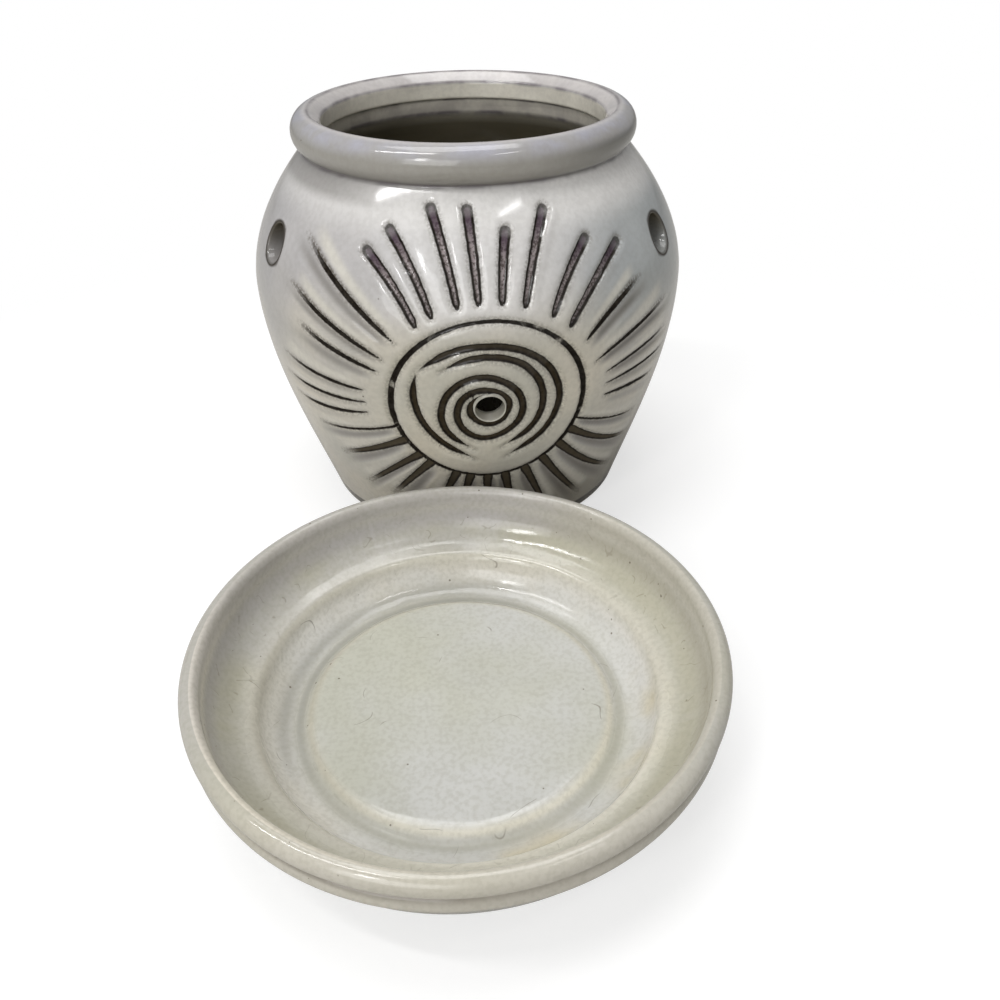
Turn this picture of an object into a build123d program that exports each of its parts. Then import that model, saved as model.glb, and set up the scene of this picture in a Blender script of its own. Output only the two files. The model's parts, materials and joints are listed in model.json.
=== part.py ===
"""Wax melt warmer: a glazed stoneware jar over a small lamp, and its lift-off wax dish.

The jar stands upright on the Z axis with its pad on z = 0 and its sun towards -Y.
The dish is taken off and stands on the same table in front of the jar.
All sizes are in millimetres.
"""

import os
from math import cos, radians, sin

from build123d import *

os.makedirs("parts", exist_ok=True)

# Jar: foot and floor
pad_thickness = 1.2
pad_setback = 2.0
foot_radius = 49.0
foot_lean = 0.30
foot_ring_width = 6.0
foot_recess = 12.0
floor_thickness = 5.0
wall = 5.0

# Jar: belly, shoulder and rolled collar
jar_height = 118.0
belly_radius = 65.0
belly_height = 70.0
shoulder_slope = 0.93
collar_radius = 49.2
collar_bead = 5.3
collar_tuck_angle = 60.0
mouth_radius = 40.3
mouth_lip_drop = 2.8
neck_band = 5.0
neck_undercut = 1.6
neck_undercut_height = 4.5

# Jar: carved sun, with distances taken along the surface from the sun's centre
sun_azimuth = 4.0
sun_rise = 54.8
sun_radius = 26.9
carving_depth = 1.0
ring_groove = 1.2
spiral_groove = 1.9
spiral_inner = 6.0
spiral_step = 2.5
spiral_half_turns = 7
light_hole_radius = 4.0
ray_width = 2.2
ray_point_width = 0.9
ray_gap = 4.6
ray_side_gap = 9.0
# Clock angle and reach of each hand-cut ray, from the top and round by the right
ray_angles = (
    9, 20, 35, 46, 59, 73, 82, 89, 96, 109, 118, 130, 144, 157, 170, 181,
    192, 201, 219, 228, 242, 255, 264, 271, 278, 290, 300, 312, 326, 335, 348, 358,
)
ray_tips = (
    50, 57, 53, 57, 55, 63, 64, 67, 61, 57, 63, 64, 58, 50, 46, 44,
    44, 46, 50, 55, 55, 58, 66, 68, 66, 58, 65, 64, 54, 56, 58, 56,
)

# Jar: vents on the shoulders
vent_radius = 5.6
vent_height = 88.5
vent_azimuth = 62.0

# Cord inlet at the back of the foot
cord_hole_radius = 4.5
cord_hole_margin = 0.5
cord_bore_radius = 3.3
grommet_flange = 1.6
grommet_flange_rim = 1.5

# Dish
dish_x = -5.6
dish_y = -124.7
dish_radius = 62.0
dish_height = 30.0
rim_bead = 2.6
band_bead = 2.6
band_setback = 0.6
band_spacing = 5.4
disc_radius = 36.2
disc_height = 8.6
disc_step = 0.9
ridge_radius = 47.4
ridge_height = 15.2
ridge_round = 1.0
dish_wall = 4.4
seat_clearance = 1.0
seat_width = 6.2
dish_foot_height = 4.0
dish_foot_width = 5.6
dish_foot_recess = 3.0

# Lamp holder and its fixing through the floor
thread_radius = 5.0
thread_clearance = 0.15
nipple_bore_radius = 3.2
nipple_tail = 7.5
nipple_overhang = 1.0
nut_flats = 14.0
nut_thickness = 3.5
washer_radius = 10.5
washer_thickness = 1.0
fibre_radius = 13.0
fibre_thickness = 1.5
holder_radius = 14.0
holder_wall = 1.5
holder_base_height = 12.0
holder_base_floor = 3.0
spigot_height = 3.0
spigot_clearance = 0.15
core_thickness = 5.0
screw_shell_height = 15.0
screw_shell_wall = 0.5
sleeve_lip = 1.5
sleeve_opening_margin = 0.6
contact_width = 3.0
contact_length = 8.0
contact_strip = 0.4
contact_rise = 0.7
terminal_offset = 8.0
terminal_screw_radius = 1.5
terminal_head_radius = 2.4
terminal_head_height = 1.6
terminal_plate_radius = 3.0
terminal_plate_thickness = 0.6

# Bulb
bulb_cap_radius = 6.9
bulb_clearance = 0.3
bulb_length = 54.0
bulb_radius = 12.5
bulb_glass_wall = 0.7
bulb_neck_radius = 6.2
bulb_cap_height = 16.0
bulb_cap_wall = 0.4
bulb_tip_radius = 2.6
bulb_tip_height = 1.6
insulator_height = 2.4
stem_radius = 2.2
stem_height = 15.0
stem_flare_thickness = 1.2
wire_radius = 0.3
wire_spread = 4.5
wire_rise = 11.0

# Heights that follow from the sizes above
foot_z = pad_thickness
floor_under_z = foot_z + foot_recess
floor_z = floor_under_z + floor_thickness
collar_z = jar_height - collar_bead
collar_center_radius = collar_radius - collar_bead
neck_radius = collar_center_radius + collar_bead * cos(radians(collar_tuck_angle))
neck_z = collar_z - collar_bead * sin(radians(collar_tuck_angle))
lip_z = jar_height - mouth_lip_drop
neck_band_z = lip_z - neck_band
undercut_z = neck_band_z - neck_undercut_height
inner_floor_radius = foot_radius + foot_lean * (floor_z - foot_z) - wall
cord_hole_z = floor_under_z - cord_hole_radius - cord_hole_margin
holder_z = floor_z + fibre_thickness
holder_joint_z = holder_z + holder_base_height
spigot_z = holder_joint_z + spigot_height
core_z = spigot_z + core_thickness
screw_shell_z = core_z + screw_shell_height
sleeve_z = screw_shell_z + sleeve_lip
contact_z = core_z + contact_rise
bulb_z = contact_z + bulb_clearance
insulator_z = bulb_z + bulb_tip_height
cap_z = insulator_z + insulator_height
cap_top_z = cap_z + bulb_cap_height
bulb_top_z = bulb_z + bulb_length

# Radii that follow from the fits
screw_shell_bore = bulb_cap_radius + bulb_clearance
screw_shell_radius = screw_shell_bore + screw_shell_wall
sleeve_bore = holder_radius - holder_wall
core_radius = sleeve_bore - spigot_clearance
floor_hole_radius = thread_radius + thread_clearance
dish_foot_radius = mouth_radius - seat_clearance


def save(piece, name):
    """Label a finished piece and write it as its own file."""
    piece.part.label = name
    export_step(piece.part, f"parts/{name}.step")


def lower_wall(inset, start_radius, start_z):
    """Curve from the foot or floor up to the belly, moved inwards by inset."""
    third = (belly_height - start_z) / 3
    return Bezier(
        (start_radius, start_z),
        (start_radius + foot_lean * third, start_z + third),
        (belly_radius - inset, belly_height - third),
        (belly_radius - inset, belly_height),
    )


def upper_wall(inset, end_radius, end_z):
    """Curve from the belly over the shoulder to the neck, moved inwards by inset."""
    third = (end_z - belly_height) / 3
    return Bezier(
        (belly_radius - inset, belly_height),
        (belly_radius - inset, belly_height + third),
        (end_radius + shoulder_slope * third, end_z - third),
        (end_radius, end_z),
    )


def azimuth_plane(azimuth, height):
    """Plane on the jar's axis whose normal points out at an azimuth, counted from -Y towards +X."""
    outward = (sin(radians(azimuth)), -cos(radians(azimuth)), 0)
    return Plane(origin=(0, 0, height), x_dir=(-outward[1], outward[0], 0), z_dir=outward)


# Outside of the jar from foot to neck, which the carving follows
with BuildLine() as flank:
    lower_wall(0, foot_radius, foot_z)
    upper_wall(0, neck_radius, neck_z)
flank_wire = flank.wire()
sun_center = flank_wire.position_at(sun_rise, PositionMode.LENGTH)


def on_flank(distance, clock):
    """Point of the jar's outside and its outward normal, at a distance and clock angle from the sun's centre."""
    across = distance * sin(radians(clock))
    length = sun_rise + distance * cos(radians(clock))
    spot = flank_wire.position_at(length, PositionMode.LENGTH)
    rise = flank_wire.tangent_at(length, PositionMode.LENGTH)
    turn = radians(sun_azimuth) + 2 * across / (spot.X + sun_center.X)
    point = Vector(spot.X * sin(turn), -spot.X * cos(turn), spot.Y)
    outward = Vector(rise.Y * sin(turn), -rise.Y * cos(turn), -rise.X)
    return point, outward


def ray_root(clock):
    """Distance at which a ray starts: clear of the ring above and at the sides, on the ring below."""
    upness = cos(radians(clock))
    if upness < -0.2:
        return sun_radius
    return sun_radius + (ray_gap if upness > 0.3 else ray_side_gap)


def ray_ends(clock):
    """Width of a ray at its root and at its tip: even above, pointed towards the ring elsewhere."""
    upness = cos(radians(clock))
    return (ray_width if upness > 0.6 else ray_point_width), ray_width


# Carved sun: ring, spiral and rays, all cut to one depth below the jar's outside
sun_point, sun_outward = on_flank(0, 0)
sun_across = (cos(radians(sun_azimuth)), sin(radians(sun_azimuth)), 0)
sun_plane = Plane(origin=sun_point, x_dir=sun_across, z_dir=sun_outward)
carving_reach = 2 * wall
with BuildPart() as carving:
    with BuildSketch(sun_plane):
        Circle(sun_radius + ring_groove / 2)
        Circle(sun_radius - ring_groove / 2, mode=Mode.SUBTRACT)
        with BuildLine():
            for half_turn in range(spiral_half_turns):
                CenterArc(
                    (spiral_step * (half_turn % 2), 0),
                    spiral_inner + spiral_step * half_turn,
                    180 * (half_turn % 2),
                    180,
                )
        trace(line_width=spiral_groove)
    extrude(amount=carving_reach, both=True)
    for clock, tip in zip(ray_angles, ray_tips):
        root = ray_root(clock)
        inner, _ = on_flank(root, clock)
        outer, _ = on_flank(tip, clock)
        middle, outward = on_flank((root + tip) / 2, clock)
        half_length = (outer - inner).length / 2
        root_width, tip_width = ray_ends(clock)
        with BuildSketch(Plane(origin=middle, x_dir=outer - inner, z_dir=outward)):
            with BuildLine():
                Polyline(
                    (-half_length, root_width / 2),
                    (-half_length, -root_width / 2),
                    (half_length, -tip_width / 2),
                    (half_length, tip_width / 2),
                    close=True,
                )
            make_face()
        extrude(amount=carving_reach, both=True)
    # Keep only the skin of the jar, one carving depth thick
    with BuildSketch(Plane.XZ):
        with BuildLine():
            skin_low = lower_wall(0, foot_radius, foot_z)
            skin_high = upper_wall(0, neck_radius, neck_z)
            under_low = lower_wall(carving_depth, foot_radius - carving_depth, foot_z)
            under_high = upper_wall(carving_depth, neck_radius - carving_depth, neck_z)
            Line(skin_low @ 0, under_low @ 0)
            Line(skin_high @ 1, under_high @ 1)
        make_face()
    revolve(axis=Axis.Z, mode=Mode.INTERSECT)

# Jar
undercut_radius = mouth_radius + neck_undercut
with BuildPart() as jar:
    with BuildSketch(Plane.XZ):
        with BuildLine():
            outer_low = lower_wall(0, foot_radius, foot_z)
            outer_high = upper_wall(0, neck_radius, neck_z)
            bead = CenterArc(
                (collar_center_radius, collar_z), collar_bead, -collar_tuck_angle, 90 + collar_tuck_angle
            )
            Line(bead @ 1, (mouth_radius, lip_z))
            Line((mouth_radius, lip_z), (mouth_radius, neck_band_z))
            Line((mouth_radius, neck_band_z), (undercut_radius, neck_band_z))
            Line((undercut_radius, neck_band_z), (undercut_radius, undercut_z))
            inner_high = upper_wall(wall, undercut_radius, undercut_z)
            inner_low = lower_wall(wall, inner_floor_radius, floor_z)
            Polyline(
                inner_low @ 0,
                (floor_hole_radius, floor_z),
                (floor_hole_radius, floor_under_z),
                (foot_radius - foot_ring_width, floor_under_z),
                (foot_radius - foot_ring_width, foot_z),
                outer_low @ 0,
            )
        make_face()
    revolve(axis=Axis.Z)
    # Carved sun with the light hole at its centre, and the two shoulder vents
    add(carving.part, mode=Mode.SUBTRACT)
    with BuildSketch(azimuth_plane(sun_azimuth, sun_center.Y)):
        Circle(light_hole_radius)
    extrude(amount=belly_radius, mode=Mode.SUBTRACT)
    for side in (-1, 1):
        with BuildSketch(azimuth_plane(side * vent_azimuth, vent_height)):
            Circle(vent_radius)
        extrude(amount=belly_radius, mode=Mode.SUBTRACT)
    # Cord hole through the back of the foot, with a flat for the grommet's flange
    with BuildSketch(azimuth_plane(180, cord_hole_z)):
        Circle(cord_hole_radius)
    extrude(amount=belly_radius, mode=Mode.SUBTRACT)
    with BuildSketch(azimuth_plane(180, cord_hole_z).offset(foot_radius)):
        Circle(cord_hole_radius + grommet_flange_rim + thread_clearance)
    extrude(amount=foot_ring_width, mode=Mode.SUBTRACT)
save(jar, "jar")

# Pad glued under the foot ring
with BuildPart() as base_pad:
    with BuildSketch():
        Circle(foot_radius - pad_setback)
    extrude(amount=pad_thickness)
save(base_pad, "base_pad")

# Rubber grommet in the cord hole: a flange outside, and a plain end through the foot ring
flange_radius = cord_hole_radius + grommet_flange_rim
groove_radius = cord_hole_radius - thread_clearance
recess_radius = foot_radius - foot_ring_width
with BuildPart() as cord_grommet:
    with BuildSketch(azimuth_plane(180, cord_hole_z).offset(foot_radius)):
        Circle(flange_radius)
    extrude(amount=grommet_flange)
    fillet(cord_grommet.faces().sort_by(Axis.Y)[-1].edges(), grommet_flange / 2)
    with BuildSketch(azimuth_plane(180, cord_hole_z).offset(foot_radius)):
        Circle(groove_radius)
    extrude(amount=-foot_ring_width)
    with BuildSketch(azimuth_plane(180, cord_hole_z).offset(recess_radius)):
        Circle(groove_radius)
    extrude(amount=-grommet_flange)
    with BuildSketch(azimuth_plane(180, cord_hole_z).offset(foot_radius + grommet_flange)):
        Circle(cord_bore_radius)
    extrude(amount=-(foot_ring_width + 2 * grommet_flange), mode=Mode.SUBTRACT)
save(cord_grommet, "cord_grommet")

# Threaded nipple that carries the lamp holder through the floor
nipple_low = floor_under_z - washer_thickness - nut_thickness - nipple_overhang
nipple_high = holder_z + nipple_tail
with BuildPart() as threaded_nipple:
    with BuildSketch(Plane.XY.offset(nipple_low)):
        Circle(thread_radius)
        Circle(nipple_bore_radius, mode=Mode.SUBTRACT)
    extrude(amount=nipple_high - nipple_low)
save(threaded_nipple, "threaded_nipple")

# Steel washer and lock nut under the floor
with BuildPart() as floor_washer:
    with BuildSketch(Plane.XY.offset(floor_under_z - washer_thickness)):
        Circle(washer_radius)
        Circle(floor_hole_radius, mode=Mode.SUBTRACT)
    extrude(amount=washer_thickness)
save(floor_washer, "floor_washer")

with BuildPart() as lock_nut:
    with BuildSketch(Plane.XY.offset(floor_under_z - washer_thickness - nut_thickness)):
        RegularPolygon(nut_flats / 2, 6, major_radius=False)
        Circle(floor_hole_radius, mode=Mode.SUBTRACT)
    extrude(amount=nut_thickness)
save(lock_nut, "lock_nut")

# Fibre washer between the floor and the lamp holder
with BuildPart() as fibre_washer:
    with BuildSketch(Plane.XY.offset(floor_z)):
        Circle(fibre_radius)
        Circle(floor_hole_radius, mode=Mode.SUBTRACT)
    extrude(amount=fibre_thickness)
save(fibre_washer, "fibre_washer")

# Lamp holder base: a cup on the nipple, with a spigot for the sleeve
spigot_radius = sleeve_bore - spigot_clearance
with BuildPart() as holder_base:
    with BuildSketch(Plane.XZ):
        with BuildLine():
            Polyline(
                (floor_hole_radius, holder_z),
                (holder_radius, holder_z),
                (holder_radius, holder_joint_z),
                (spigot_radius, holder_joint_z),
                (spigot_radius, spigot_z),
                (spigot_radius - holder_wall, spigot_z),
                (spigot_radius - holder_wall, holder_z + holder_base_floor),
                (floor_hole_radius, holder_z + holder_base_floor),
                close=True,
            )
        make_face()
    revolve(axis=Axis.Z)
    fillet(holder_base.faces().sort_by(Axis.Z)[0].outer_wire().edges(), holder_wall)
save(holder_base, "holder_base")

# Insulating core that carries the contacts
with BuildPart() as holder_core:
    with BuildSketch(Plane.XY.offset(spigot_z)):
        Circle(core_radius)
        with Locations((-terminal_offset, 0), (terminal_offset, 0)):
            Circle(terminal_screw_radius + thread_clearance, mode=Mode.SUBTRACT)
    extrude(amount=core_thickness)
save(holder_core, "holder_core")

# Sleeve that covers the core, with a rounded lip round the bulb's cap
sleeve_opening = screw_shell_radius + sleeve_opening_margin
with BuildPart() as holder_sleeve:
    with BuildSketch(Plane.XZ):
        with BuildLine():
            Polyline(
                (sleeve_bore, holder_joint_z),
                (holder_radius, holder_joint_z),
                (holder_radius, sleeve_z),
                (sleeve_opening, sleeve_z),
                (sleeve_opening, screw_shell_z),
                (sleeve_bore, screw_shell_z),
                close=True,
            )
        make_face()
    revolve(axis=Axis.Z)
    fillet(holder_sleeve.faces().sort_by(Axis.Z)[-1].outer_wire().edges(), holder_wall)
save(holder_sleeve, "holder_sleeve")

# Brass shell that takes the bulb's screw cap, standing on the core
with BuildPart() as screw_shell:
    with BuildSketch(Plane.XY.offset(core_z)):
        Circle(screw_shell_radius)
        Circle(screw_shell_bore, mode=Mode.SUBTRACT)
    extrude(amount=screw_shell_height)
save(screw_shell, "screw_shell")

# Sprung centre contact: a strip that rises to the middle
with BuildPart() as centre_contact:
    with BuildSketch(Plane.XZ):
        with BuildLine():
            Polyline(
                (-contact_length / 2, core_z),
                (-contact_length / 4, core_z),
                (-contact_length / 8, contact_z - contact_strip),
                (contact_length / 8, contact_z - contact_strip),
                (contact_length / 4, core_z),
                (contact_length / 2, core_z),
                (contact_length / 2, core_z + contact_strip),
                (contact_length / 4, core_z + contact_strip),
                (contact_length / 8, contact_z),
                (-contact_length / 8, contact_z),
                (-contact_length / 4, core_z + contact_strip),
                (-contact_length / 2, core_z + contact_strip),
                close=True,
            )
        make_face()
    extrude(amount=contact_width / 2, both=True)
save(centre_contact, "centre_contact")

# Terminal plates and screws under the core
plate_z = spigot_z - terminal_plate_thickness
with BuildPart() as terminal_plates:
    with BuildSketch(Plane.XY.offset(plate_z)):
        with Locations((-terminal_offset, 0), (terminal_offset, 0)):
            Circle(terminal_plate_radius - thread_clearance)
            Circle(terminal_screw_radius + thread_clearance, mode=Mode.SUBTRACT)
    extrude(amount=terminal_plate_thickness)
save(terminal_plates, "terminal_plates")

with BuildPart() as terminal_screws:
    with Locations((-terminal_offset, 0, plate_z), (terminal_offset, 0, plate_z)):
        Cylinder(
            terminal_screw_radius,
            core_thickness - contact_strip,
            align=(Align.CENTER, Align.CENTER, Align.MIN),
        )
        Cylinder(
            terminal_head_radius,
            terminal_head_height,
            align=(Align.CENTER, Align.CENTER, Align.MAX),
        )
save(terminal_screws, "terminal_screws")

# Bulb: screw cap, black insulator and tip contact
with BuildPart() as bulb_cap:
    with BuildSketch(Plane.XZ):
        with BuildLine():
            Polyline(
                (bulb_tip_radius, cap_z),
                (bulb_cap_radius - bulb_cap_wall, cap_z),
                (bulb_cap_radius, cap_z + bulb_cap_wall),
                (bulb_cap_radius, cap_top_z),
                (bulb_cap_radius - bulb_cap_wall, cap_top_z),
                (bulb_cap_radius - bulb_cap_wall, cap_z + bulb_cap_wall),
                (bulb_tip_radius, cap_z + bulb_cap_wall),
                close=True,
            )
        make_face()
    revolve(axis=Axis.Z)
save(bulb_cap, "bulb_cap")

with BuildPart() as bulb_insulator:
    with BuildSketch(Plane.XZ):
        with BuildLine():
            Polyline(
                (0, insulator_z),
                (bulb_tip_radius, insulator_z),
                (bulb_cap_radius - 2 * bulb_cap_wall, cap_z),
                (0, cap_z),
                close=True,
            )
        make_face()
    revolve(axis=Axis.Z)
save(bulb_insulator, "bulb_insulator")

with BuildPart() as bulb_tip:
    with BuildSketch(Plane.XY.offset(bulb_z)):
        Circle(bulb_tip_radius)
    extrude(amount=bulb_tip_height)
    fillet(bulb_tip.faces().sort_by(Axis.Z)[0].edges(), bulb_tip_height / 2)
save(bulb_tip, "bulb_tip")

# Bulb glass: a thin envelope, open at the neck inside the cap
neck_low_z = cap_top_z - bulb_cap_height / 2
bulb_center_z = bulb_top_z - bulb_radius
neck_inner = bulb_neck_radius - bulb_glass_wall


def envelope(radius, neck):
    """Half outline of the bulb from its neck to its crown."""
    flank = (bulb_center_z - cap_top_z) / 2
    side = Bezier(
        (neck, cap_top_z),
        (neck, cap_top_z + flank),
        (radius, bulb_center_z - flank),
        (radius, bulb_center_z),
    )
    crown = CenterArc((0, bulb_center_z), radius, 0, 90)
    return side, crown


with BuildPart() as bulb_glass:
    with BuildSketch(Plane.XZ):
        with BuildLine():
            envelope(bulb_radius, bulb_neck_radius)
            envelope(bulb_radius - bulb_glass_wall, neck_inner)
            Line((0, bulb_top_z - bulb_glass_wall), (0, bulb_top_z))
            Polyline(
                (neck_inner, cap_top_z),
                (neck_inner, neck_low_z),
                (bulb_neck_radius, neck_low_z),
                (bulb_neck_radius, cap_top_z),
            )
        make_face()
    revolve(axis=Axis.Z)
save(bulb_glass, "bulb_glass")

# Bulb stem: a flare that closes the neck, and the glass mount above it
stem_top_z = neck_low_z + stem_height
with BuildPart() as bulb_stem:
    with BuildSketch(Plane.XY.offset(neck_low_z)):
        Circle(neck_inner)
    extrude(amount=stem_flare_thickness)
    with BuildSketch(Plane.XY.offset(neck_low_z)):
        Circle(stem_radius)
    extrude(amount=stem_height)
    fillet(bulb_stem.faces().sort_by(Axis.Z)[-1].edges(), stem_radius / 2)
save(bulb_stem, "bulb_stem")

# Lead wires that spread from the stem, and the filament they hold
wire_top_z = stem_top_z + wire_rise
filament_z = wire_top_z + 2 * wire_radius
with BuildPart() as lead_wires:
    for side in (-1, 1):
        with BuildLine() as wire_path:
            Line((side * stem_radius / 2, 0, stem_top_z), (side * wire_spread, 0, wire_top_z))
        with BuildSketch(Plane(wire_path.line @ 0, z_dir=wire_path.line % 0)):
            Circle(wire_radius)
        sweep(path=wire_path.line)
save(lead_wires, "lead_wires")

with BuildPart() as filament:
    with BuildLine() as filament_path:
        ThreePointArc(
            (-wire_spread, 0, filament_z),
            (0, 0, filament_z - wire_spread / 4),
            (wire_spread, 0, filament_z),
        )
    with BuildSketch(Plane(filament_path.line @ 0, z_dir=filament_path.line % 0)):
        Circle(wire_radius)
    sweep(path=filament_path.line)
save(filament, "filament")

# Dish: rolled rim over a band, bowl wall, ridge, cove, central disc and a foot that seats in the mouth
crease_radius = disc_radius + disc_step
crease_z = disc_height - disc_step
rim_center = (dish_radius - rim_bead, dish_height - rim_bead)
band_center = (dish_radius - band_setback - band_bead, rim_center[1] - band_spacing)
bowl_top = (dish_radius - 2 * rim_bead, rim_center[1])
seat_radius = dish_foot_radius + seat_width
foot_inner_radius = dish_foot_radius - dish_foot_width
dish_plane = Plane(origin=(dish_x, dish_y, 0), x_dir=(1, 0, 0), z_dir=(0, -1, 0))
with BuildPart() as dish:
    with BuildSketch(dish_plane) as dish_section:
        with BuildLine():
            Polyline((0, dish_foot_recess), (0, disc_height), (disc_radius, disc_height), (crease_radius, crease_z))
            cove = Bezier(
                (crease_radius, crease_z), (ridge_radius - disc_step, crease_z), (ridge_radius, ridge_height)
            )
            bowl = Bezier(cove @ 1, (bowl_top[0], ridge_height + disc_step), bowl_top)
            Polyline(bowl @ 1, rim_center, band_center)
            outside = Bezier(
                band_center, (band_center[0], dish_foot_height + dish_wall), (seat_radius, dish_foot_height)
            )
            Polyline(
                outside @ 1,
                (dish_foot_radius, dish_foot_height),
                (dish_foot_radius, 0),
                (foot_inner_radius, 0),
                (foot_inner_radius, dish_foot_recess),
                (0, dish_foot_recess),
            )
        make_face()
        fillet(dish_section.vertices().sort_by_distance(dish_plane.from_local_coords(cove @ 1))[0], ridge_round)
        with Locations(rim_center):
            Circle(rim_bead)
        with Locations(band_center):
            Circle(band_bead)
    revolve(axis=Axis((dish_x, dish_y, 0), (0, 0, 1)))
save(dish, "dish")
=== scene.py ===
# %% [markdown]
# # Wax melt warmer with a carved sun
# The real object is a glazed stoneware jar that stands over a small lamp, with its wax dish lifted off and
# set down in front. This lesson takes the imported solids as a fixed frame, rebuilds what shows at full
# detail, gives every piece a procedural finish, and ends with floor, light and camera.

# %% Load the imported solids
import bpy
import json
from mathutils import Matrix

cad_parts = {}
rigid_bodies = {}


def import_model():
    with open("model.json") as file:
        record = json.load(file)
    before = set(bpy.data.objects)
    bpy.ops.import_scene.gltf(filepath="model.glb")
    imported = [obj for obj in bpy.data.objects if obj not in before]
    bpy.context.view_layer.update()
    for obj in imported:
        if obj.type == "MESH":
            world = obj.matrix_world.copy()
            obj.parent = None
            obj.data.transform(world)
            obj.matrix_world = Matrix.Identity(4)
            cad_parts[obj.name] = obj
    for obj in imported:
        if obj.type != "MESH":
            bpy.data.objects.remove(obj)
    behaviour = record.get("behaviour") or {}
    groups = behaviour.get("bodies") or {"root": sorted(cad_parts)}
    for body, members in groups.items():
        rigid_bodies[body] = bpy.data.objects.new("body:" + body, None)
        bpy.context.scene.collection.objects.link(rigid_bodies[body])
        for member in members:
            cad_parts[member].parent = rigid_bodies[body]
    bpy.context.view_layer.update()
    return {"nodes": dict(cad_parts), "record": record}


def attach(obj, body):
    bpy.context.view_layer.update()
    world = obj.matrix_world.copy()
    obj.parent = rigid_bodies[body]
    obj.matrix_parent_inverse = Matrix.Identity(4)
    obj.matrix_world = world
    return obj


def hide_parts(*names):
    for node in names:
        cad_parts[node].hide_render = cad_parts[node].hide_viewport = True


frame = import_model()

# %% [markdown]
# ## Small tools for meshes
# A turned piece is a section spun about an axis. Blender has a Screw modifier for that, but here each ring
# of points is computed with numpy, because the same arrays then give the marks that the glaze follows, such
# as how close a point is to a crease. All sizes are written in millimetres and scaled once, when the mesh
# is made.

# %% Mesh tools
import json
from math import cos, pi, radians, sin, tau

import bmesh
import bpy
import numpy as np
from mathutils import Matrix, Vector

MM = 0.001


def make_piece(name, points, faces, marks=None):
    """Make an object from points in millimetres, with marks as attributes and faces turned outwards."""
    mesh = bpy.data.meshes.new(name)
    mesh.from_pydata((np.asarray(points) * MM).tolist(), [], faces)
    for label, values in (marks or {}).items():
        layer = mesh.attributes.new(label, "FLOAT", "POINT")
        layer.data.foreach_set("value", np.asarray(values, dtype=np.float32))
    shape = bmesh.new()
    shape.from_mesh(mesh)
    bmesh.ops.remove_doubles(shape, verts=shape.verts, dist=1e-7)
    loose = [v for v in shape.verts if not v.link_faces]
    bmesh.ops.delete(shape, geom=loose, context="VERTS")
    bmesh.ops.recalc_face_normals(shape, faces=shape.faces)
    shape.to_mesh(mesh)
    shape.free()
    mesh.shade_smooth()
    piece = bpy.data.objects.new(name, mesh)
    bpy.context.collection.objects.link(piece)
    print(name, len(mesh.vertices), "points", len(mesh.polygons), "faces")
    return piece


def bezier(corners, steps):
    """Points along a Bezier curve with three or four corners."""
    t = np.linspace(0, 1, steps)[:, None]
    line = [np.array(c, dtype=float) for c in corners]
    while len(line) > 1:
        line = [a * (1 - t) + b * t for a, b in zip(line, line[1:])]
    return line[0]


def arc(center, radius, start, end, steps):
    """Points along an arc, with angles in degrees."""
    turn = np.radians(np.linspace(start, end, steps))
    return np.stack([center[0] + radius * np.cos(turn), center[1] + radius * np.sin(turn)], axis=1)


def soften(corners, cut, steps=5):
    """Replace each inner corner of a line by a short curve, as glaze rounds an edge."""
    corners = [np.array(c, dtype=float) for c in corners]
    rounded = [corners[0][None]]
    for before, corner, after in zip(corners, corners[1:], corners[2:]):
        ends = []
        for side in (before, after):
            reach = np.linalg.norm(side - corner)
            ends.append(corner + (side - corner) * min(cut, reach * 0.45) / reach)
        rounded.append(bezier((ends[0], corner, ends[1]), steps))
    return np.vstack([*rounded, corners[-1][None]])


def lengths(line):
    """Distance of each point along a line."""
    return np.concatenate([[0], np.cumsum(np.linalg.norm(np.diff(line, axis=0), axis=1))])


def respace(line, step):
    """The same line with points at an even step."""
    along = lengths(line)
    even = np.linspace(0, along[-1], max(2, int(round(along[-1] / step)) + 1))
    return np.stack([np.interp(even, along, line[:, k]) for k in (0, 1)], axis=1)


class Shell:
    """Points and faces of one skin, gathered patch by patch."""

    def __init__(self):
        self.points = []
        self.faces = []

    def rows(self, block):
        """Add a block of points and return their numbers in the same layout."""
        start = len(self.points)
        self.points.extend(block.reshape(-1, 3).tolist())
        return np.arange(start, len(self.points)).reshape(block.shape[:-1])

    def skin(self, index, keep=None):
        """Join rows of points that close on themselves by four-sided faces."""
        beside = np.roll(index, -1, axis=1)
        quads = np.stack([index[:-1], beside[:-1], beside[1:], index[1:]], axis=-1)
        chosen = quads.reshape(-1, 4) if keep is None else quads[keep]
        self.faces.extend(chosen.tolist())

    def zip(self, loop_a, turn_a, loop_b, turn_b):
        """Join two closed loops of different counts by triangles, walking round both by angle."""
        a_order, b_order = np.argsort(turn_a), np.argsort(turn_b)
        loop_a, turn_a = np.asarray(loop_a)[a_order].tolist(), np.asarray(turn_a)[a_order]
        loop_b, turn_b = np.asarray(loop_b)[b_order].tolist(), np.asarray(turn_b)[b_order]
        turn_a, turn_b = np.append(turn_a, turn_a[0] + tau), np.append(turn_b, turn_b[0] + tau)
        i = j = 0
        while i < len(loop_a) or j < len(loop_b):
            here_a, here_b = loop_a[i % len(loop_a)], loop_b[j % len(loop_b)]
            if j == len(loop_b) or (i < len(loop_a) and turn_a[i + 1] <= turn_b[j + 1]):
                i += 1
                self.faces.append((here_a, loop_a[i % len(loop_a)], here_b))
            else:
                j += 1
                self.faces.append((here_a, loop_b[j % len(loop_b)], here_b))


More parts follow.
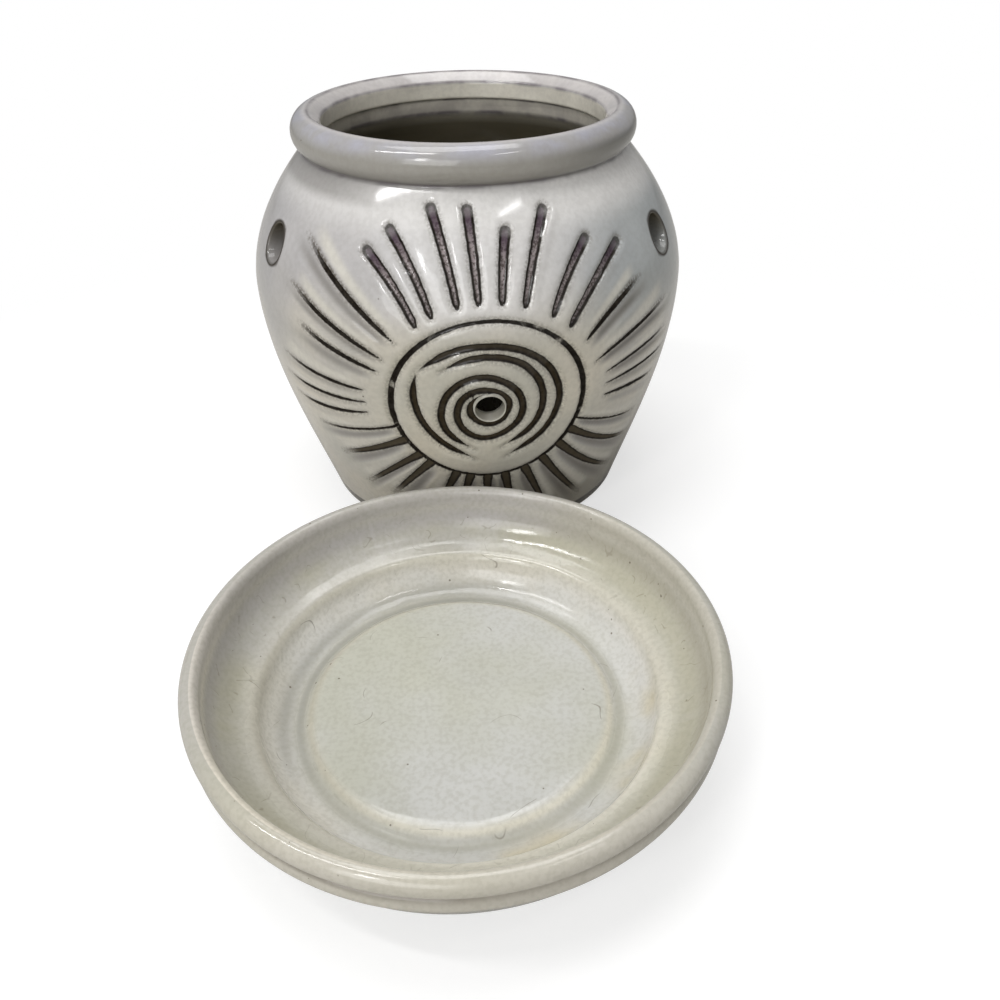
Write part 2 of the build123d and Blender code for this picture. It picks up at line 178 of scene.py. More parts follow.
def ring_block(rows, turns, center=(0.0, 0.0)):
    """Points of rows spun to the given azimuths, counted from -Y towards +X."""
    block = np.empty((len(rows), len(turns), 3))
    block[..., 0] = center[0] + rows[:, :1] * np.sin(turns)
    block[..., 1] = center[1] - rows[:, :1] * np.cos(turns)
    block[..., 2] = rows[:, 1:]
    return block


def spin(section, columns, center=(0.0, 0.0)):
    """Points and faces of a closed section spun about a vertical axis."""
    shell = Shell()
    index = shell.rows(ring_block(section, np.linspace(0, tau, columns, endpoint=False), center))
    shell.skin(np.vstack([index, index[:1]]))
    return shell.points, shell.faces


# %% [markdown]
# ## Small tools for node trees
# Geometry trees and shader trees are both nodes joined by links. Arithmetic would take one long line for
# each node, so a small class stands for what a node puts out, and adding or multiplying two of them adds
# the node that does it. New nodes go into the tree that is open.

# %% Node tools
class Value:
    """What a node puts out. Arithmetic with it adds nodes to the open tree."""

    tree = None

    def __init__(self, socket):
        self.socket = socket

    def __add__(self, other):
        return calc("ADD", self, other)

    def __sub__(self, other):
        return calc("SUBTRACT", self, other)

    def __rsub__(self, other):
        return calc("SUBTRACT", other, self)

    def __mul__(self, other):
        return calc("MULTIPLY", self, other)

    def __truediv__(self, other):
        return calc("DIVIDE", self, other)

    def __abs__(self):
        return calc("ABSOLUTE", self)

    __radd__ = __add__
    __rmul__ = __mul__


def add(kind, inputs=None, **settings):
    """Add a node to the open tree, set its properties, then link or fill its inputs."""
    node = Value.tree.nodes.new(kind)
    for label, value in settings.items():
        setattr(node, label, value)
    for label, value in (inputs or {}).items():
        if isinstance(value, Value):
            Value.tree.links.new(value.socket, node.inputs[label])
        else:
            node.inputs[label].default_value = value
    return node


def get(kind, inputs=None, output=0, **settings):
    """Add a node and return one of its outputs."""
    return Value(add(kind, inputs, **settings).outputs[output])


def calc(operation, *values):
    """One arithmetic step."""
    return get("ShaderNodeMath", dict(enumerate(values)), operation=operation)


def largest(first, second):
    """The larger of two numbers."""
    return calc("MAXIMUM", first, second)


def ease(value, low, high, start=0.0, end=1.0):
    """Soft step from start, where value is low, to end, where it is high."""
    inputs = {"Value": value, "From Min": low, "From Max": high, "To Min": start, "To Max": end}
    return get("ShaderNodeMapRange", inputs, "Result", interpolation_type="SMOOTHSTEP")


def between(start, end, share):
    """Straight mix of two numbers."""
    return (end - start) * share + start


def arrow(operation, *vectors, output="Vector"):
    """One step with vectors."""
    return get("ShaderNodeVectorMath", dict(enumerate(vectors)), output, operation=operation)


def split(vector):
    """The three parts of a vector."""
    return [Value(part) for part in add("ShaderNodeSeparateXYZ", {0: vector}).outputs]


def join(*parts):
    """A vector from its parts."""
    return get("ShaderNodeCombineXYZ", dict(enumerate(parts)))


def noise(place, scale, detail):
    """Smooth noise."""
    return get("ShaderNodeTexNoise", {"Vector": place, "Scale": scale, "Detail": detail}, "Fac")


def object_place():
    """Object coordinates."""
    return get("ShaderNodeTexCoord", output="Object")


def start_group(name, kind, output, **inputs):
    """Open a new group. An input is a number with its default, or the kind of thing that it takes."""
    tree = Value.tree = bpy.data.node_groups.new(name, kind)
    for label, value in inputs.items():
        takes = value if isinstance(value, str) else "Int" if isinstance(value, int) else "Float"
        label = label.replace("_", " ")
        socket = tree.interface.new_socket(label, in_out="INPUT", socket_type="NodeSocket" + takes)
        if takes != value:
            socket.default_value = value
    gives = "Geometry" if output == "Geometry" else "Float"
    tree.interface.new_socket(output, in_out="OUTPUT", socket_type="NodeSocket" + gives)
    inner = tree.nodes.new("NodeGroupInput").outputs
    return tree, {socket.name: Value(socket) for socket in inner if socket.name}


def end_group(value):
    """Lead a value to the open group's output."""
    Value.tree.links.new(value.socket, Value.tree.nodes.new("NodeGroupOutput").inputs[0])


def end_geometry(geometry, material):
    """Finish an open geometry group: real geometry, with its material."""
    geometry = get("GeometryNodeRealizeInstances", {"Geometry": geometry})
    end_group(get("GeometryNodeSetMaterial", {"Geometry": geometry, "Material": material}))


def run_nodes(piece, tree, **values):
    """Run a geometry tree on a piece with the given inputs and keep the result as a plain mesh."""
    modifier = piece.modifiers.new(tree.name, "NODES")
    modifier.node_group = tree
    for item in tree.interface.items_tree:
        label = item.name.replace(" ", "_")
        if item.in_out == "INPUT" and label in values:
            modifier[item.identifier] = values[label]
    bpy.context.view_layer.update()
    evaluated = piece.evaluated_get(bpy.context.evaluated_depsgraph_get())
    result = bpy.data.meshes.new_from_object(evaluated)
    piece.modifiers.clear()
    old, piece.data = piece.data, result
    if old.users == 0:
        bpy.data.batch_remove([old])
    result.name = piece.name
    print(tree.name, len(tree.nodes), "nodes, made", piece.name, len(result.vertices), "points")


# %% [markdown]
# ## Shared effects
# Several finishes need the same effects: soft clouds of tone, dark specks, fine hairs, brush streaks and a
# slight ripple. Each is a shader node group, so that a material only sets its own scale and amount. The
# groups put out masks and heights, and the shader itself stays in each material.

# %% Clouds, specks, hairs, streaks and ripple
SHADER = "ShaderNodeTree"
NEARLY_ZERO = 0.001

clouds, given = start_group("clouds", SHADER, "Mask", Scale=40.0, Low=0.4, High=0.6, Detail=3.0, Seed=0.0)
shift = arrow("ADD", object_place(), given["Seed"])
end_group(ease(noise(shift, given["Scale"], given["Detail"]), given["Low"], given["High"]))

specks, given = start_group("specks", SHADER, "Mask", Scale=400.0, Size=0.2, Share=0.1, Seed=0.0)
shift = arrow("ADD", object_place(), given["Seed"])
cells = add("ShaderNodeTexVoronoi", {"Vector": shift, "Scale": given["Scale"]}).outputs
chance = get("ShaderNodeSeparateColor", {0: Value(cells["Color"])})
size = given["Size"] * (chance / largest(given["Share"], NEARLY_ZERO) + 0.4)
dot = ease(Value(cells["Distance"]), size, size * 0.5)
end_group(dot * calc("LESS_THAN", chance, given["Share"]))

hairs, given = start_group("hairs", SHADER, "Mask", Scale=40.0, Width=0.006, Share=0.2)
place = object_place()
line = ease(abs(noise(place, given["Scale"], 1.0) - 0.5), given["Width"], 0.0)
broken = ease(noise(place, given["Scale"] * 2.3, 0.0), 0.8 - given["Share"], 0.85 - given["Share"])
end_group(line * broken)

streaks, given = start_group(
    "streaks", SHADER, "Mask", Center_X=0.0, Center_Y=0.0, Across=30.0, Along=4.0, Seed=0.0)
east, north, rise = split(object_place())
east, north = east - given["Center X"], north - given["Center Y"]
reach = calc("SQRT", east * east + north * north)
around = given["Across"] / largest(reach, NEARLY_ZERO)
strand = join(east * around, north * around, (reach + rise) * given["Along"] * 10.0 + given["Seed"])
end_group(ease(noise(strand, 1.0, 3.0), 0.42, 0.68))

ripple, given = start_group("ripple", SHADER, "Height", Broad=60.0, Fine=600.0, Fine_share=0.1)
place = object_place()
end_group(noise(place, given["Fine"], 2.0) * given["Fine share"] + noise(place, given["Broad"], 1.0))
print("effects", [g.name for g in bpy.data.node_groups])


# %% [markdown]
# A finish starts as a Principled shader with its even values set on the shader's own sockets. Masks from
# the effects then drive colour, roughness and bump. Colours are written as they show on a screen, from 0 to
# 255.

# %% Finish tools
def colour(red, green, blue):
    """Screen colour as the linear colour that shaders use."""
    parts = [c / 255 for c in (red, green, blue)]
    return (*[c / 12.92 if c <= 0.04045 else ((c + 0.055) / 1.055) ** 2.4 for c in parts], 1.0)


def tint(amount, base, over):
    """Lay one colour over another."""
    base, over = (c if isinstance(c, Value) else colour(*c) for c in (base, over))
    return get("ShaderNodeMix", {0: amount, 6: base, 7: over}, 2, data_type="RGBA")


def layers(tone, *coats):
    """Lay coats over a tone, from the lowest to the top, each with its amount and its colour."""
    for amount, over in coats:
        tone = tint(amount, tone, over)
    return tone


def finish(name, **even):
    """Start a finish: open a new material's tree, with its even values set."""
    material = bpy.data.materials.new(name)
    material.use_nodes = True
    Value.tree = material.node_tree
    for label, value in even.items():
        Value.tree.nodes["Principled BSDF"].inputs[label.replace("_", " ")].default_value = value
    return material


def mask(group, **values):
    """Place an effect and return its output."""
    inputs = {label.replace("_", " "): value for label, value in values.items()}
    return get("ShaderNodeGroup", inputs, node_tree=group)


def mark(label):
    """Read a mark that the mesh carries."""
    return get("ShaderNodeAttribute", output="Fac", attribute_name=label)


def paint(**channels):
    """Lead values to the shader's inputs."""
    shader = Value.tree.nodes["Principled BSDF"]
    for label, value in channels.items():
        Value.tree.links.new(value.socket, shader.inputs[label.replace("_", " ")])


def bump(height, distance):
    """Feed a height to the shader's normal, with its full distance in metres."""
    paint(Normal=get("ShaderNodeBump", {"Height": height, "Distance": distance, "Strength": 1.0}, "Normal"))


# %% [markdown]
# ## The jar's glaze
# A cream glaze runs thin over edges and gathers grey and lavender in hollows. A dark stain was brushed into
# the carving and wiped off, so it stays in the cuts. The carving leaves marks on the mesh: the distance in
# millimetres to the edge of the nearest cut, below zero inside it. The colour reads those marks, so stain
# and shape cannot drift apart. The glaze is a dull body under a clear coat, and the coat is missing where
# the stain lies bare. Some tints are painted light and shade: lighter at the front and to the right under and
# on the collar, darker on the left side and at the foot, a dark painted reflection on the collar, darker grey
# down the hollows between the rays and inside the mouth and vents, and a painted shadow line at the foot.

# %% Jar glaze
CREAM, GREY_GREEN, LAVENDER = (218, 211, 195), (199, 196, 184), (168, 167, 170)
SHOULDER_WHITE, FRONT_PAINTED_LIGHT, NECK_PAINTED_LIGHT = (211, 209, 209), (228, 226, 224), (229, 227, 224)
COOL_GREY, LEFT_PAINTED_SHADE, NECK_PAINTED_SHADE = (166, 173, 174), (171, 168, 168), (124, 120, 116)
FOOT_GLAZE_AND_SHADE, FOOT_PAINTED_SHADOW, RIDGE_CREAM = (120, 114, 95), (46, 41, 33), (222, 218, 206)
COLLAR_SHADE, COLLAR_GREY, COLLAR_LAVENDER = (120, 117, 109), (164, 161, 154), (172, 171, 180)
COLLAR_PAINTED_LIGHT, COLLAR_PAINTED_REFLECTION, COLLAR_CREST = (176, 177, 172), (96, 98, 94), (214, 209, 206)
MOUTH_CREAM, INSIDE_SHADE_BROWN, VENT_BROWN = (248, 243, 228), (112, 105, 86), (52, 46, 38)
LINE_GREY, STAIN_AND_SHADE_GREY, SMEAR_BROWN = (112, 106, 110), (116, 110, 100), (84, 76, 64)
STAIN, OLIVE_STAIN, FOOT_STAIN, PURPLE = (24, 18, 12), (52, 43, 28), (78, 70, 55), (78, 62, 76)
FLOOR_DARK, FLOOR_PALE = (82, 72, 70), (156, 146, 146)
GRAIN_GREY, SPECK_BROWN = (120, 114, 104), (96, 88, 74)
BODY_ROUGHNESS = 0.45

jar_glaze = finish(
    "jar_glaze", Roughness=BODY_ROUGHNESS, Specular_IOR_Level=0.12, Coat_Roughness=0.1, Coat_IOR=1.5)
hollow, pool, inside, collar, bead = map(mark, ("hollow", "pool", "inside", "collar", "bead"))
vent, along, upper, across, above = map(mark, ("vent", "along", "upper", "across", "above"))
ray_edge, coil_edge, ring_edge = map(mark, ("ray_edge", "coil_edge", "ring_edge"))
east, _, rise = split(object_place())
reach = calc("SQRT", across * across + above * above)
zone = ease(reach, 30, 46, 0.1, 1) * ease(above, 56, 48) * ease(above, -12, 14, 0.25, 1)
gather = mask(clouds, Scale=34.0, Low=0.22, High=0.72, Detail=2.0, Seed=3.7) * zone
body = layers(
    tint(mask(clouds, Scale=26.0, Low=0.36, High=0.66), CREAM, GREY_GREEN),
    (ease(above, 16, 40, 0, 0.85), SHOULDER_WHITE),
    (largest(gather * 0.75, hollow * 0.7), LAVENDER),
    (ease(east, 0.010, 0.050, 0, 0.7) * ease(above, 5, 30), COOL_GREY),
    # painted shade: a darker left side
    (ease(east, -0.004, -0.038, 0, 0.45) * ease(above, 8, 36), LEFT_PAINTED_SHADE),
    # painted light: a lighter band down the middle of the front, where the jar faces the lamps
    (ease(abs(east), 0.032, 0.008) * ease(above, 22, 32, 0, 0.75), FRONT_PAINTED_LIGHT),
    # painted light just under the collar, stronger to the right
    (ease(above, 45, 55) * ease(east, -0.05, 0.02, 0.5, 1), NECK_PAINTED_LIGHT),
    # painted shade just under the collar on the left
    (ease(above, 53, 57) * ease(east, -0.01, -0.04, 0, 0.6), NECK_PAINTED_SHADE),
    # darker olive glaze towards the foot, together with painted shade from above and from the dish, stronger
    # on the right
    (ease(above, -16, -44, 0, 0.6) * ease(east, -0.030, 0.025, 0.3, 1), FOOT_GLAZE_AND_SHADE),
    # painted contact shadow: a dark band at the very foot
    (ease(rise, 0.0056, 0.0044, 0, 0.9), FOOT_PAINTED_SHADOW),
    # painted shade down the hollows between the rays
    (hollow * 0.6, STAIN_AND_SHADE_GREY),
    (mark("ridge") * 0.7, RIDGE_CREAM),
)
blotch = mask(clouds, Scale=120.0, Low=0.40, High=0.62, Seed=5.1)
turned = ease(east, 0.012, 0.048)
collar_tone = layers(
    tint(ease(bead, 0, 0.36), COLLAR_SHADE, COLLAR_GREY),
    # painted light on the collar's underside to the right
    (turned * ease(bead, 0.2, 0.08), COLLAR_PAINTED_LIGHT),
    # painted dark reflection: a band round the collar to the right
    (turned * ease(bead, 0.14, 0.26) * ease(bead, 0.62, 0.5, 0, 0.6), COLLAR_PAINTED_REFLECTION),
    (ease(bead, 0.42, 0.74) * (blotch * 0.6 + 0.4), COLLAR_LAVENDER),
    (ease(bead, 0.8, 1, 0, 0.9), COLLAR_CREST),
)
# stain in the rays: dark walls, and a grey floor in the wide cuts above the sun
speckle = mask(clouds, Scale=1400.0, Low=0.35, High=0.62, Detail=2.0)
nearest_edge = calc("MINIMUM", coil_edge, calc("MINIMUM", ring_edge, ray_edge))
at_foot = ease(above, -7, -11)
floor = largest(ease(ray_edge, -0.45, -0.95), at_foot * ease(ray_edge, -0.15, -0.8))
floor_tone = tint(ease(along, 0.55, 0.95, 0, 0.9), tint(speckle, FLOOR_DARK, FLOOR_PALE), PURPLE)
ray_tone = tint(floor, STAIN, tint(upper, tint(at_foot, OLIVE_STAIN, FOOT_STAIN), floor_tone))
fade = largest(upper * ease(along, 1, 0.9, 0.75, 1), ease(along, 1, 0.7, 0.15, 1))
in_ray = ease(ray_edge, 0.2, -0.12) * fade
in_coil = ease(coil_edge, 0.12, -0.2)
in_ring = ease(ring_edge, 0.18, -0.1) * mask(clouds, Scale=240.0, Low=0.2, High=0.42, Seed=8.0)
tone = layers(
    body,
    (collar, collar_tone),
    (mark("inner"), MOUTH_CREAM),
    # painted shade deeper in the mouth and at the top of the vent tunnels
    (inside, INSIDE_SHADE_BROWN),
    (pool * (blotch * 0.45 + 0.5), LINE_GREY),
    (ease(vent, 0.1, 0.7), VENT_BROWN),
    # speckled stain that crept out beside the cuts
    (ease(nearest_edge, 1.6, 0, 0, 0.5) * speckle, STAIN_AND_SHADE_GREY),
    (mark("smear") * (speckle * 0.7 + 0.4), SMEAR_BROWN),
    (in_ray, ray_tone),
    (in_coil, tint(ease(coil_edge, -0.35, -0.8), STAIN, OLIVE_STAIN)),
    (in_ring, STAIN),
    (mask(clouds, Scale=700.0, Low=0.36, High=0.66, Detail=3.0, Seed=4.4) * 0.10, GRAIN_GREY),
    (mask(specks, Scale=300.0, Size=0.10, Share=0.03), SPECK_BROWN),
)
stained = largest(in_ray, largest(in_coil, in_ring))
washed = upper * ease(along, 0.95, 0.6)
bare = largest(stained * (0.95 - washed * 0.5), vent * 0.9)
paint(Base_Color=tone, Coat_Weight=1 - bare, Roughness=stained * 0.3 + BODY_ROUGHNESS)
bump(mask(ripple, Broad=70.0, Fine=900.0, Fine_share=0.02), 0.0012)
print(jar_glaze.name, len(jar_glaze.node_tree.nodes), "nodes")

# %% [markdown]
# ## The jar's shape
# The flank is two Bezier curves that meet at the belly. Above them sits the rolled collar, and the mouth
# has a plain band with a wider neck below it. The front needs fine points for the carving and the back does
# not, so the columns are spaced unevenly. Round holes in a grid of squares would have ragged rims. So a
# block of squares is left out round each hole, and rings of points lead from the block's border to the
# round rim and on through the wall.

# %% Jar sizes and section
foot_z, foot_radius, foot_lean, foot_ring_width = 1.2, 49.0, 0.30, 6.0
belly_radius, belly_height, jar_height, wall = 65.0, 70.0, 118.0, 5.0
floor_under_z, floor_z, floor_hole_radius = 13.2, 18.2, 5.15
collar_radius, collar_bead, collar_tuck, collar_end, shoulder_slope = 49.2, 5.3, 60.0, 78.0, 0.93
mouth_radius, lip_z, band_z, undercut_radius, undercut_z = 40.3, 115.2, 110.2, 41.9, 105.7
recess_radius = foot_radius - foot_ring_width
bead_center = (collar_radius - collar_bead, jar_height - collar_bead)
neck = arc(bead_center, collar_bead, -collar_tuck, -collar_tuck, 1)[0]


def half_flank(radius, z, lean, inset):
    """Curve from an end at the given radius and height to the belly."""
    third = (belly_height - z) / 3
    widest = belly_radius - inset
    return bezier(((radius, z), (radius + lean * third, z + third), (widest, belly_height - third),
                   (widest, belly_height)), 160)


lower_flank = half_flank(foot_radius, foot_z, foot_lean, 0)
upper_flank = half_flank(*neck, -shoulder_slope, 0)
flank = np.vstack([lower_flank, upper_flank[-2::-1]])
flank_climb = lengths(flank)
inner_foot = foot_radius + foot_lean * (floor_z - foot_z) - wall
inner = np.vstack([half_flank(inner_foot, floor_z, foot_lean, wall),
                   half_flank(undercut_radius, undercut_z, -shoulder_slope, wall)[-2::-1]])
print("flank length", round(flank_climb[-1], 1), "neck", neck.round(2))

# %% Jar columns and rows
FRONT_STEP, BACK_STEP, INNER_STEP, INNER_COLUMNS, INLET_COLUMNS = 0.60, 3.8, 3.2, 128, 19
front_turn, inlet_turn = 71.0, 11.0
front = np.linspace(-front_turn, front_turn, int(2 * radians(front_turn) * belly_radius / FRONT_STEP))
side = np.arange(front_turn + BACK_STEP, 180 - inlet_turn, BACK_STEP)
inlet = np.linspace(180 - inlet_turn, 180 + inlet_turn, INLET_COLUMNS)
columns = np.radians(np.concatenate([front, side, inlet, 360 - side[::-1]]))
inner_columns = np.linspace(-pi, pi, INNER_COLUMNS, endpoint=False)
foot_round, floor_round, lip_round, inner_stop = 0.9, 1.0, 0.9, -8
flank_rows = respace(flank[flank_climb >= foot_round], FRONT_STEP)
collar_rows = arc(bead_center, collar_bead, -collar_tuck, collar_end, 22)[1:]
crest = (bead_center[0], jar_height)
mouth_rows = soften([collar_rows[-1], crest, (mouth_radius, lip_z), (mouth_radius, band_z),
                     (undercut_radius, band_z), (undercut_radius, undercut_z), inner[inner_stop]],
                    lip_round)[1:]
lip_row = int(np.argmin(np.hypot(*(mouth_rows - (mouth_radius, lip_z)).T))) + 1
outer_rows = np.vstack([flank_rows, collar_rows, mouth_rows[:lip_row]])
inner_wall = respace(inner[:inner_stop][::-1], INNER_STEP)
floor_line = soften([*inner_wall[-2:], (floor_hole_radius, floor_z), (floor_hole_radius, floor_under_z),
                     (recess_radius, floor_under_z)], floor_round, 4)[1:]
recess_heights = (12.9, 10.5, 8.2, 5.9, 3.5, 2.6)
recess_rows = np.array([(recess_radius, z) for z in recess_heights])
foot_line = soften([recess_rows[-1], (recess_radius, foot_z), (foot_radius, foot_z), flank_rows[0]],
                   foot_round, 4)[1:-1]
inner_rows = np.vstack([mouth_rows[lip_row:], inner_wall, floor_line, recess_rows, foot_line])
print("rows", len(outer_rows), len(inner_rows), "columns", len(columns))

# %% Jar skin with its four holes
sun_turn, sun_rise = radians(4.0), 54.8
sun_narrow, sun_flat, sun_drop = 0.978, 1.033, 0.45
sun_z = float(np.interp(sun_rise, flank_climb, flank[:, 1]))
shell = Shell()
outer_index = shell.rows(ring_block(outer_rows, columns))
inner_index = shell.rows(ring_block(inner_rows, inner_columns))
outer_keep = np.ones((len(outer_rows) - 1, len(columns)), dtype=bool)
inner_keep = np.ones((len(inner_rows) - 1, INNER_COLUMNS), dtype=bool)
outer_grid = (outer_rows, columns, outer_index, outer_keep)
inner_grid = (inner_rows, inner_columns, inner_index, inner_keep)
on_surface = []


def border(grid, turn, z, half, row_range):
    """Leave out the squares round a hole; return their border and its place across and above the hole."""
    rows, turns, index, keep = grid
    swing = (turns - turn + pi) % tau - pi
    near = [k for k in range(*row_range) if abs(rows[k, 1] - z) < half]
    low, high = min(near), max(near)
    reach = half / rows[(low + high) // 2, 0]
    chosen = np.flatnonzero(np.abs(swing) < reach)
    chosen = chosen[np.argsort(swing[chosen])]
    keep[low:high, chosen[:-1]] = False
    loop = [(low, c) for c in chosen[:-1]] + [(k, chosen[-1]) for k in range(low, high)]
    loop += [(high, c) for c in chosen[:0:-1]] + [(k, chosen[0]) for k in range(high, low, -1)]
    numbers = np.array([index[k, c] for k, c in loop])
    place = np.array(shell.points)[numbers]
    across = place[:, 0] * cos(turn) + place[:, 1] * sin(turn)
    return numbers, across, place[:, 2] - z


def pierce(turn, z, radius, rounding, half, rings, inner_range, inner_half, inner_line, face=None):
    """Cut one round hole through the wall, with a rounded rim or a flat face round it."""
    numbers, across, above = border(outer_grid, turn, z, half, (1, len(flank_rows)))
    angle, reach = np.arctan2(above, across), np.hypot(across, above)
    rim = face[0] if face else radius + rounding
    loops = [numbers]

    def loop(away, line, drop=0.0, start=None, share=1.0):
        """Add a ring of points round the hole, on a line of the section or part of the way there."""
        a, b = away * np.cos(angle), away * np.sin(angle)
        out = np.sqrt(np.interp(z + b, line[:, 1], line[:, 0]) ** 2 - a ** 2) if np.ndim(line) else line
        if start is not None:
            out = start * (1 - share) + out * share
        block = np.empty((len(angle), 3))
        block[:, 0] = (out - drop) * sin(turn) + a * cos(turn)
        block[:, 1] = -(out - drop) * cos(turn) + a * sin(turn)
        block[:, 2] = z + b
        loops.append(shell.rows(block))

    for share in np.linspace(0, 1, rings + 1)[1:]:
        loop(reach * (1 - share) + rim * share, flank)
    on_surface.extend(np.concatenate(loops[1:]).tolist())
    if face:
        for away in (rim, radius):
            loop(away, face[1])
    else:
        for bend in np.radians((22, 45, 68, 90)):
            loop(radius + rounding * (1 - np.sin(bend)), flank, rounding * (1 - np.cos(bend)))
    start = np.linalg.norm(np.array(shell.points)[loops[-1]][:, :2], axis=1)
    start = np.sqrt(np.maximum(start ** 2 - (radius * np.cos(angle)) ** 2, 0))
    for share in (0.35, 0.7, 1.0):
        loop(radius, inner_line, start=start, share=share)
    shell.skin(np.array(loops))
    inside_loop, across, above = border(inner_grid, turn, z, inner_half, inner_range)
    shell.zip(loops[-1], angle % tau, inside_loop, np.arctan2(above, across) % tau)


wall_start = len(mouth_rows) - lip_row
wall_range = (wall_start, wall_start + len(inner_wall))
recess_start = len(inner_rows) - len(foot_line) - len(recess_rows)
recess_range = (recess_start, recess_start + len(recess_rows))
recess_line = np.array([(recess_radius, 0.0), (recess_radius, 20.0)])
light_hole_radius, vent_radius, vent_z, vent_turn = 4.0, 4.9, 88.5, radians(62.0)
inlet_radius, inlet_z, inlet_face = 4.5, 8.2, (6.15, 49.0)
pierce(sun_turn, sun_z, light_hole_radius, rounding=0.5, half=8.0, rings=6,
       inner_range=wall_range, inner_half=8.0, inner_line=inner)
for side_sign in (-1, 1):
    pierce(side_sign * vent_turn, vent_z, vent_radius, rounding=0.6, half=9.4, rings=4,
           inner_range=wall_range, inner_half=9.8, inner_line=inner)
pierce(pi, inlet_z, inlet_radius, rounding=0.0, half=7.4, rings=3,
       inner_range=recess_range, inner_half=8.0, inner_line=recess_line, face=inlet_face)
shell.skin(outer_index, outer_keep)
shell.skin(inner_index, inner_keep)
for outer_end, inner_end in ((-1, 0), (0, -1)):
    shell.zip(outer_index[outer_end], columns % tau, inner_index[inner_end], inner_columns % tau)
print("jar skin", len(shell.points), "points", len(shell.faces), "faces")

# %% Marks that the jar's mesh carries
spots = np.array(shell.points)
x, y, z = spots.T
out = np.hypot(x, y)


def flags(*groups):
    """One at the given points and zero at the others."""
    flag = np.zeros(len(spots))
    for group in groups:
        flag[np.ravel(group)] = 1
    return flag


def near(corner, width):
    """How close each point is to a corner of the section, from 0 to 1."""
    return np.exp(-(np.hypot(out - corner[0], z - corner[1]) / width) ** 2)


outside = flags(outer_index[:len(flank_rows)], on_surface)
is_inner = flags(inner_index)
tunnel = 1 - flags(inner_index, outer_index, on_surface)
sun_girth = np.interp(sun_z, flank[:, 1], flank[:, 0])
across = (np.arctan2(x, -y) - sun_turn + pi) % tau - pi
across *= (np.interp(z, flank[:, 1], flank[:, 0]) + sun_girth) / 2
above = np.interp(z, flank[:, 1], flank_climb) - sun_rise
pool = np.maximum.reduce([near(neck, 0.9), near(crest, 0.6), near((mouth_radius, lip_z), 0.8),
                          near((undercut_radius, band_z), 1.0), near((undercut_radius, undercut_z), 1.1)])
bead_rise = np.degrees(np.arctan2(z - bead_center[1], out - bead_center[0]))
bead = np.clip((bead_rise + collar_tuck) / (90 + collar_tuck), 0, 1)
shade_depth, tunnel_from_x, vent_from_x = 9.0, 30.0, 20.0
# painted shade: darker further down inside the mouth, and towards the top of each vent tunnel
inside = is_inner * np.clip((band_z - z) / shade_depth, 0, 1) * (z > floor_under_z + 1)
tunnel_shade = 0.2 + 0.8 * np.clip((z - vent_z) / vent_radius * 0.8 + 0.4, 0, 1)
inside = np.maximum(inside, tunnel_shade * tunnel * (np.abs(x) > tunnel_from_x))
vent = np.zeros(len(spots))
for side_sign in (-1, 1):
    vent_away = np.hypot(x * cos(vent_turn) + y * sin(side_sign * vent_turn), z - vent_z) - vent_radius - 0.3
    vent = np.maximum(vent, np.exp(-(vent_away / 0.55) ** 2) * (x * side_sign > vent_from_x))
vent *= 1 - is_inner
vent[(tunnel > 0) & (inside > 0.1)] *= 0.5
jar_marks = {
    "across": across * sun_narrow, "above": (above + sun_drop) * sun_flat, "outside": outside, "pool": pool,
    "inside": inside, "inner": is_inner, "collar": flags(outer_index[len(flank_rows) - 1:]), "bead": bead,
    "vent": vent,
}
jar_piece = make_piece("jar_carved", spots, shell.faces, jar_marks)

# %% [markdown]
# ## The carved sun
# A ring, a spiral and 32 rays were cut by hand into the damp clay. Booleans would need a cutter for each
# cut and leave sharp, thin faces. A node tree is easier to steer: it spreads points along each cut, finds
# the nearest one for every point of the jar, and lowers the jar's skin by the distance to it. The lines are
# drawn flat, in millimetres along the surface from the sun's centre.

# %% Lines of the carving
ray_angles = (7, 18, 33, 44, 57, 72, 82, 89, 96, 109, 118, 130, 144, 157, 170, 181,
              192, 201, 219, 228, 242, 254, 263, 269, 276, 290, 298, 310, 324, 333, 346, 356)
ray_tips = (50, 57, 53, 57, 55, 63, 64, 67, 61, 57, 63, 64, 58, 50, 46, 44,
            44, 46, 50, 55, 55, 58, 66, 68, 66, 58, 65, 69, 54, 56, 58, 56)
sun_radius, ray_gap, ray_side_gap, ray_foot_gap = 26.9, 4.6, 7.8, 1.1
upper_root_half, upper_tip_half, side_half, side_half_growth = 1.00, 1.55, 0.66, 0.3
foot_root_half, foot_tip_half, thin_half = 1.5, 0.75, 0.45
ray_bow, left_bow_growth = 1.3, 1.3
foot_sag = {109: -1.2, 118: -2.2, 130: -2.0, 144: -0.8, 242: 0.6, 254: 1.2}
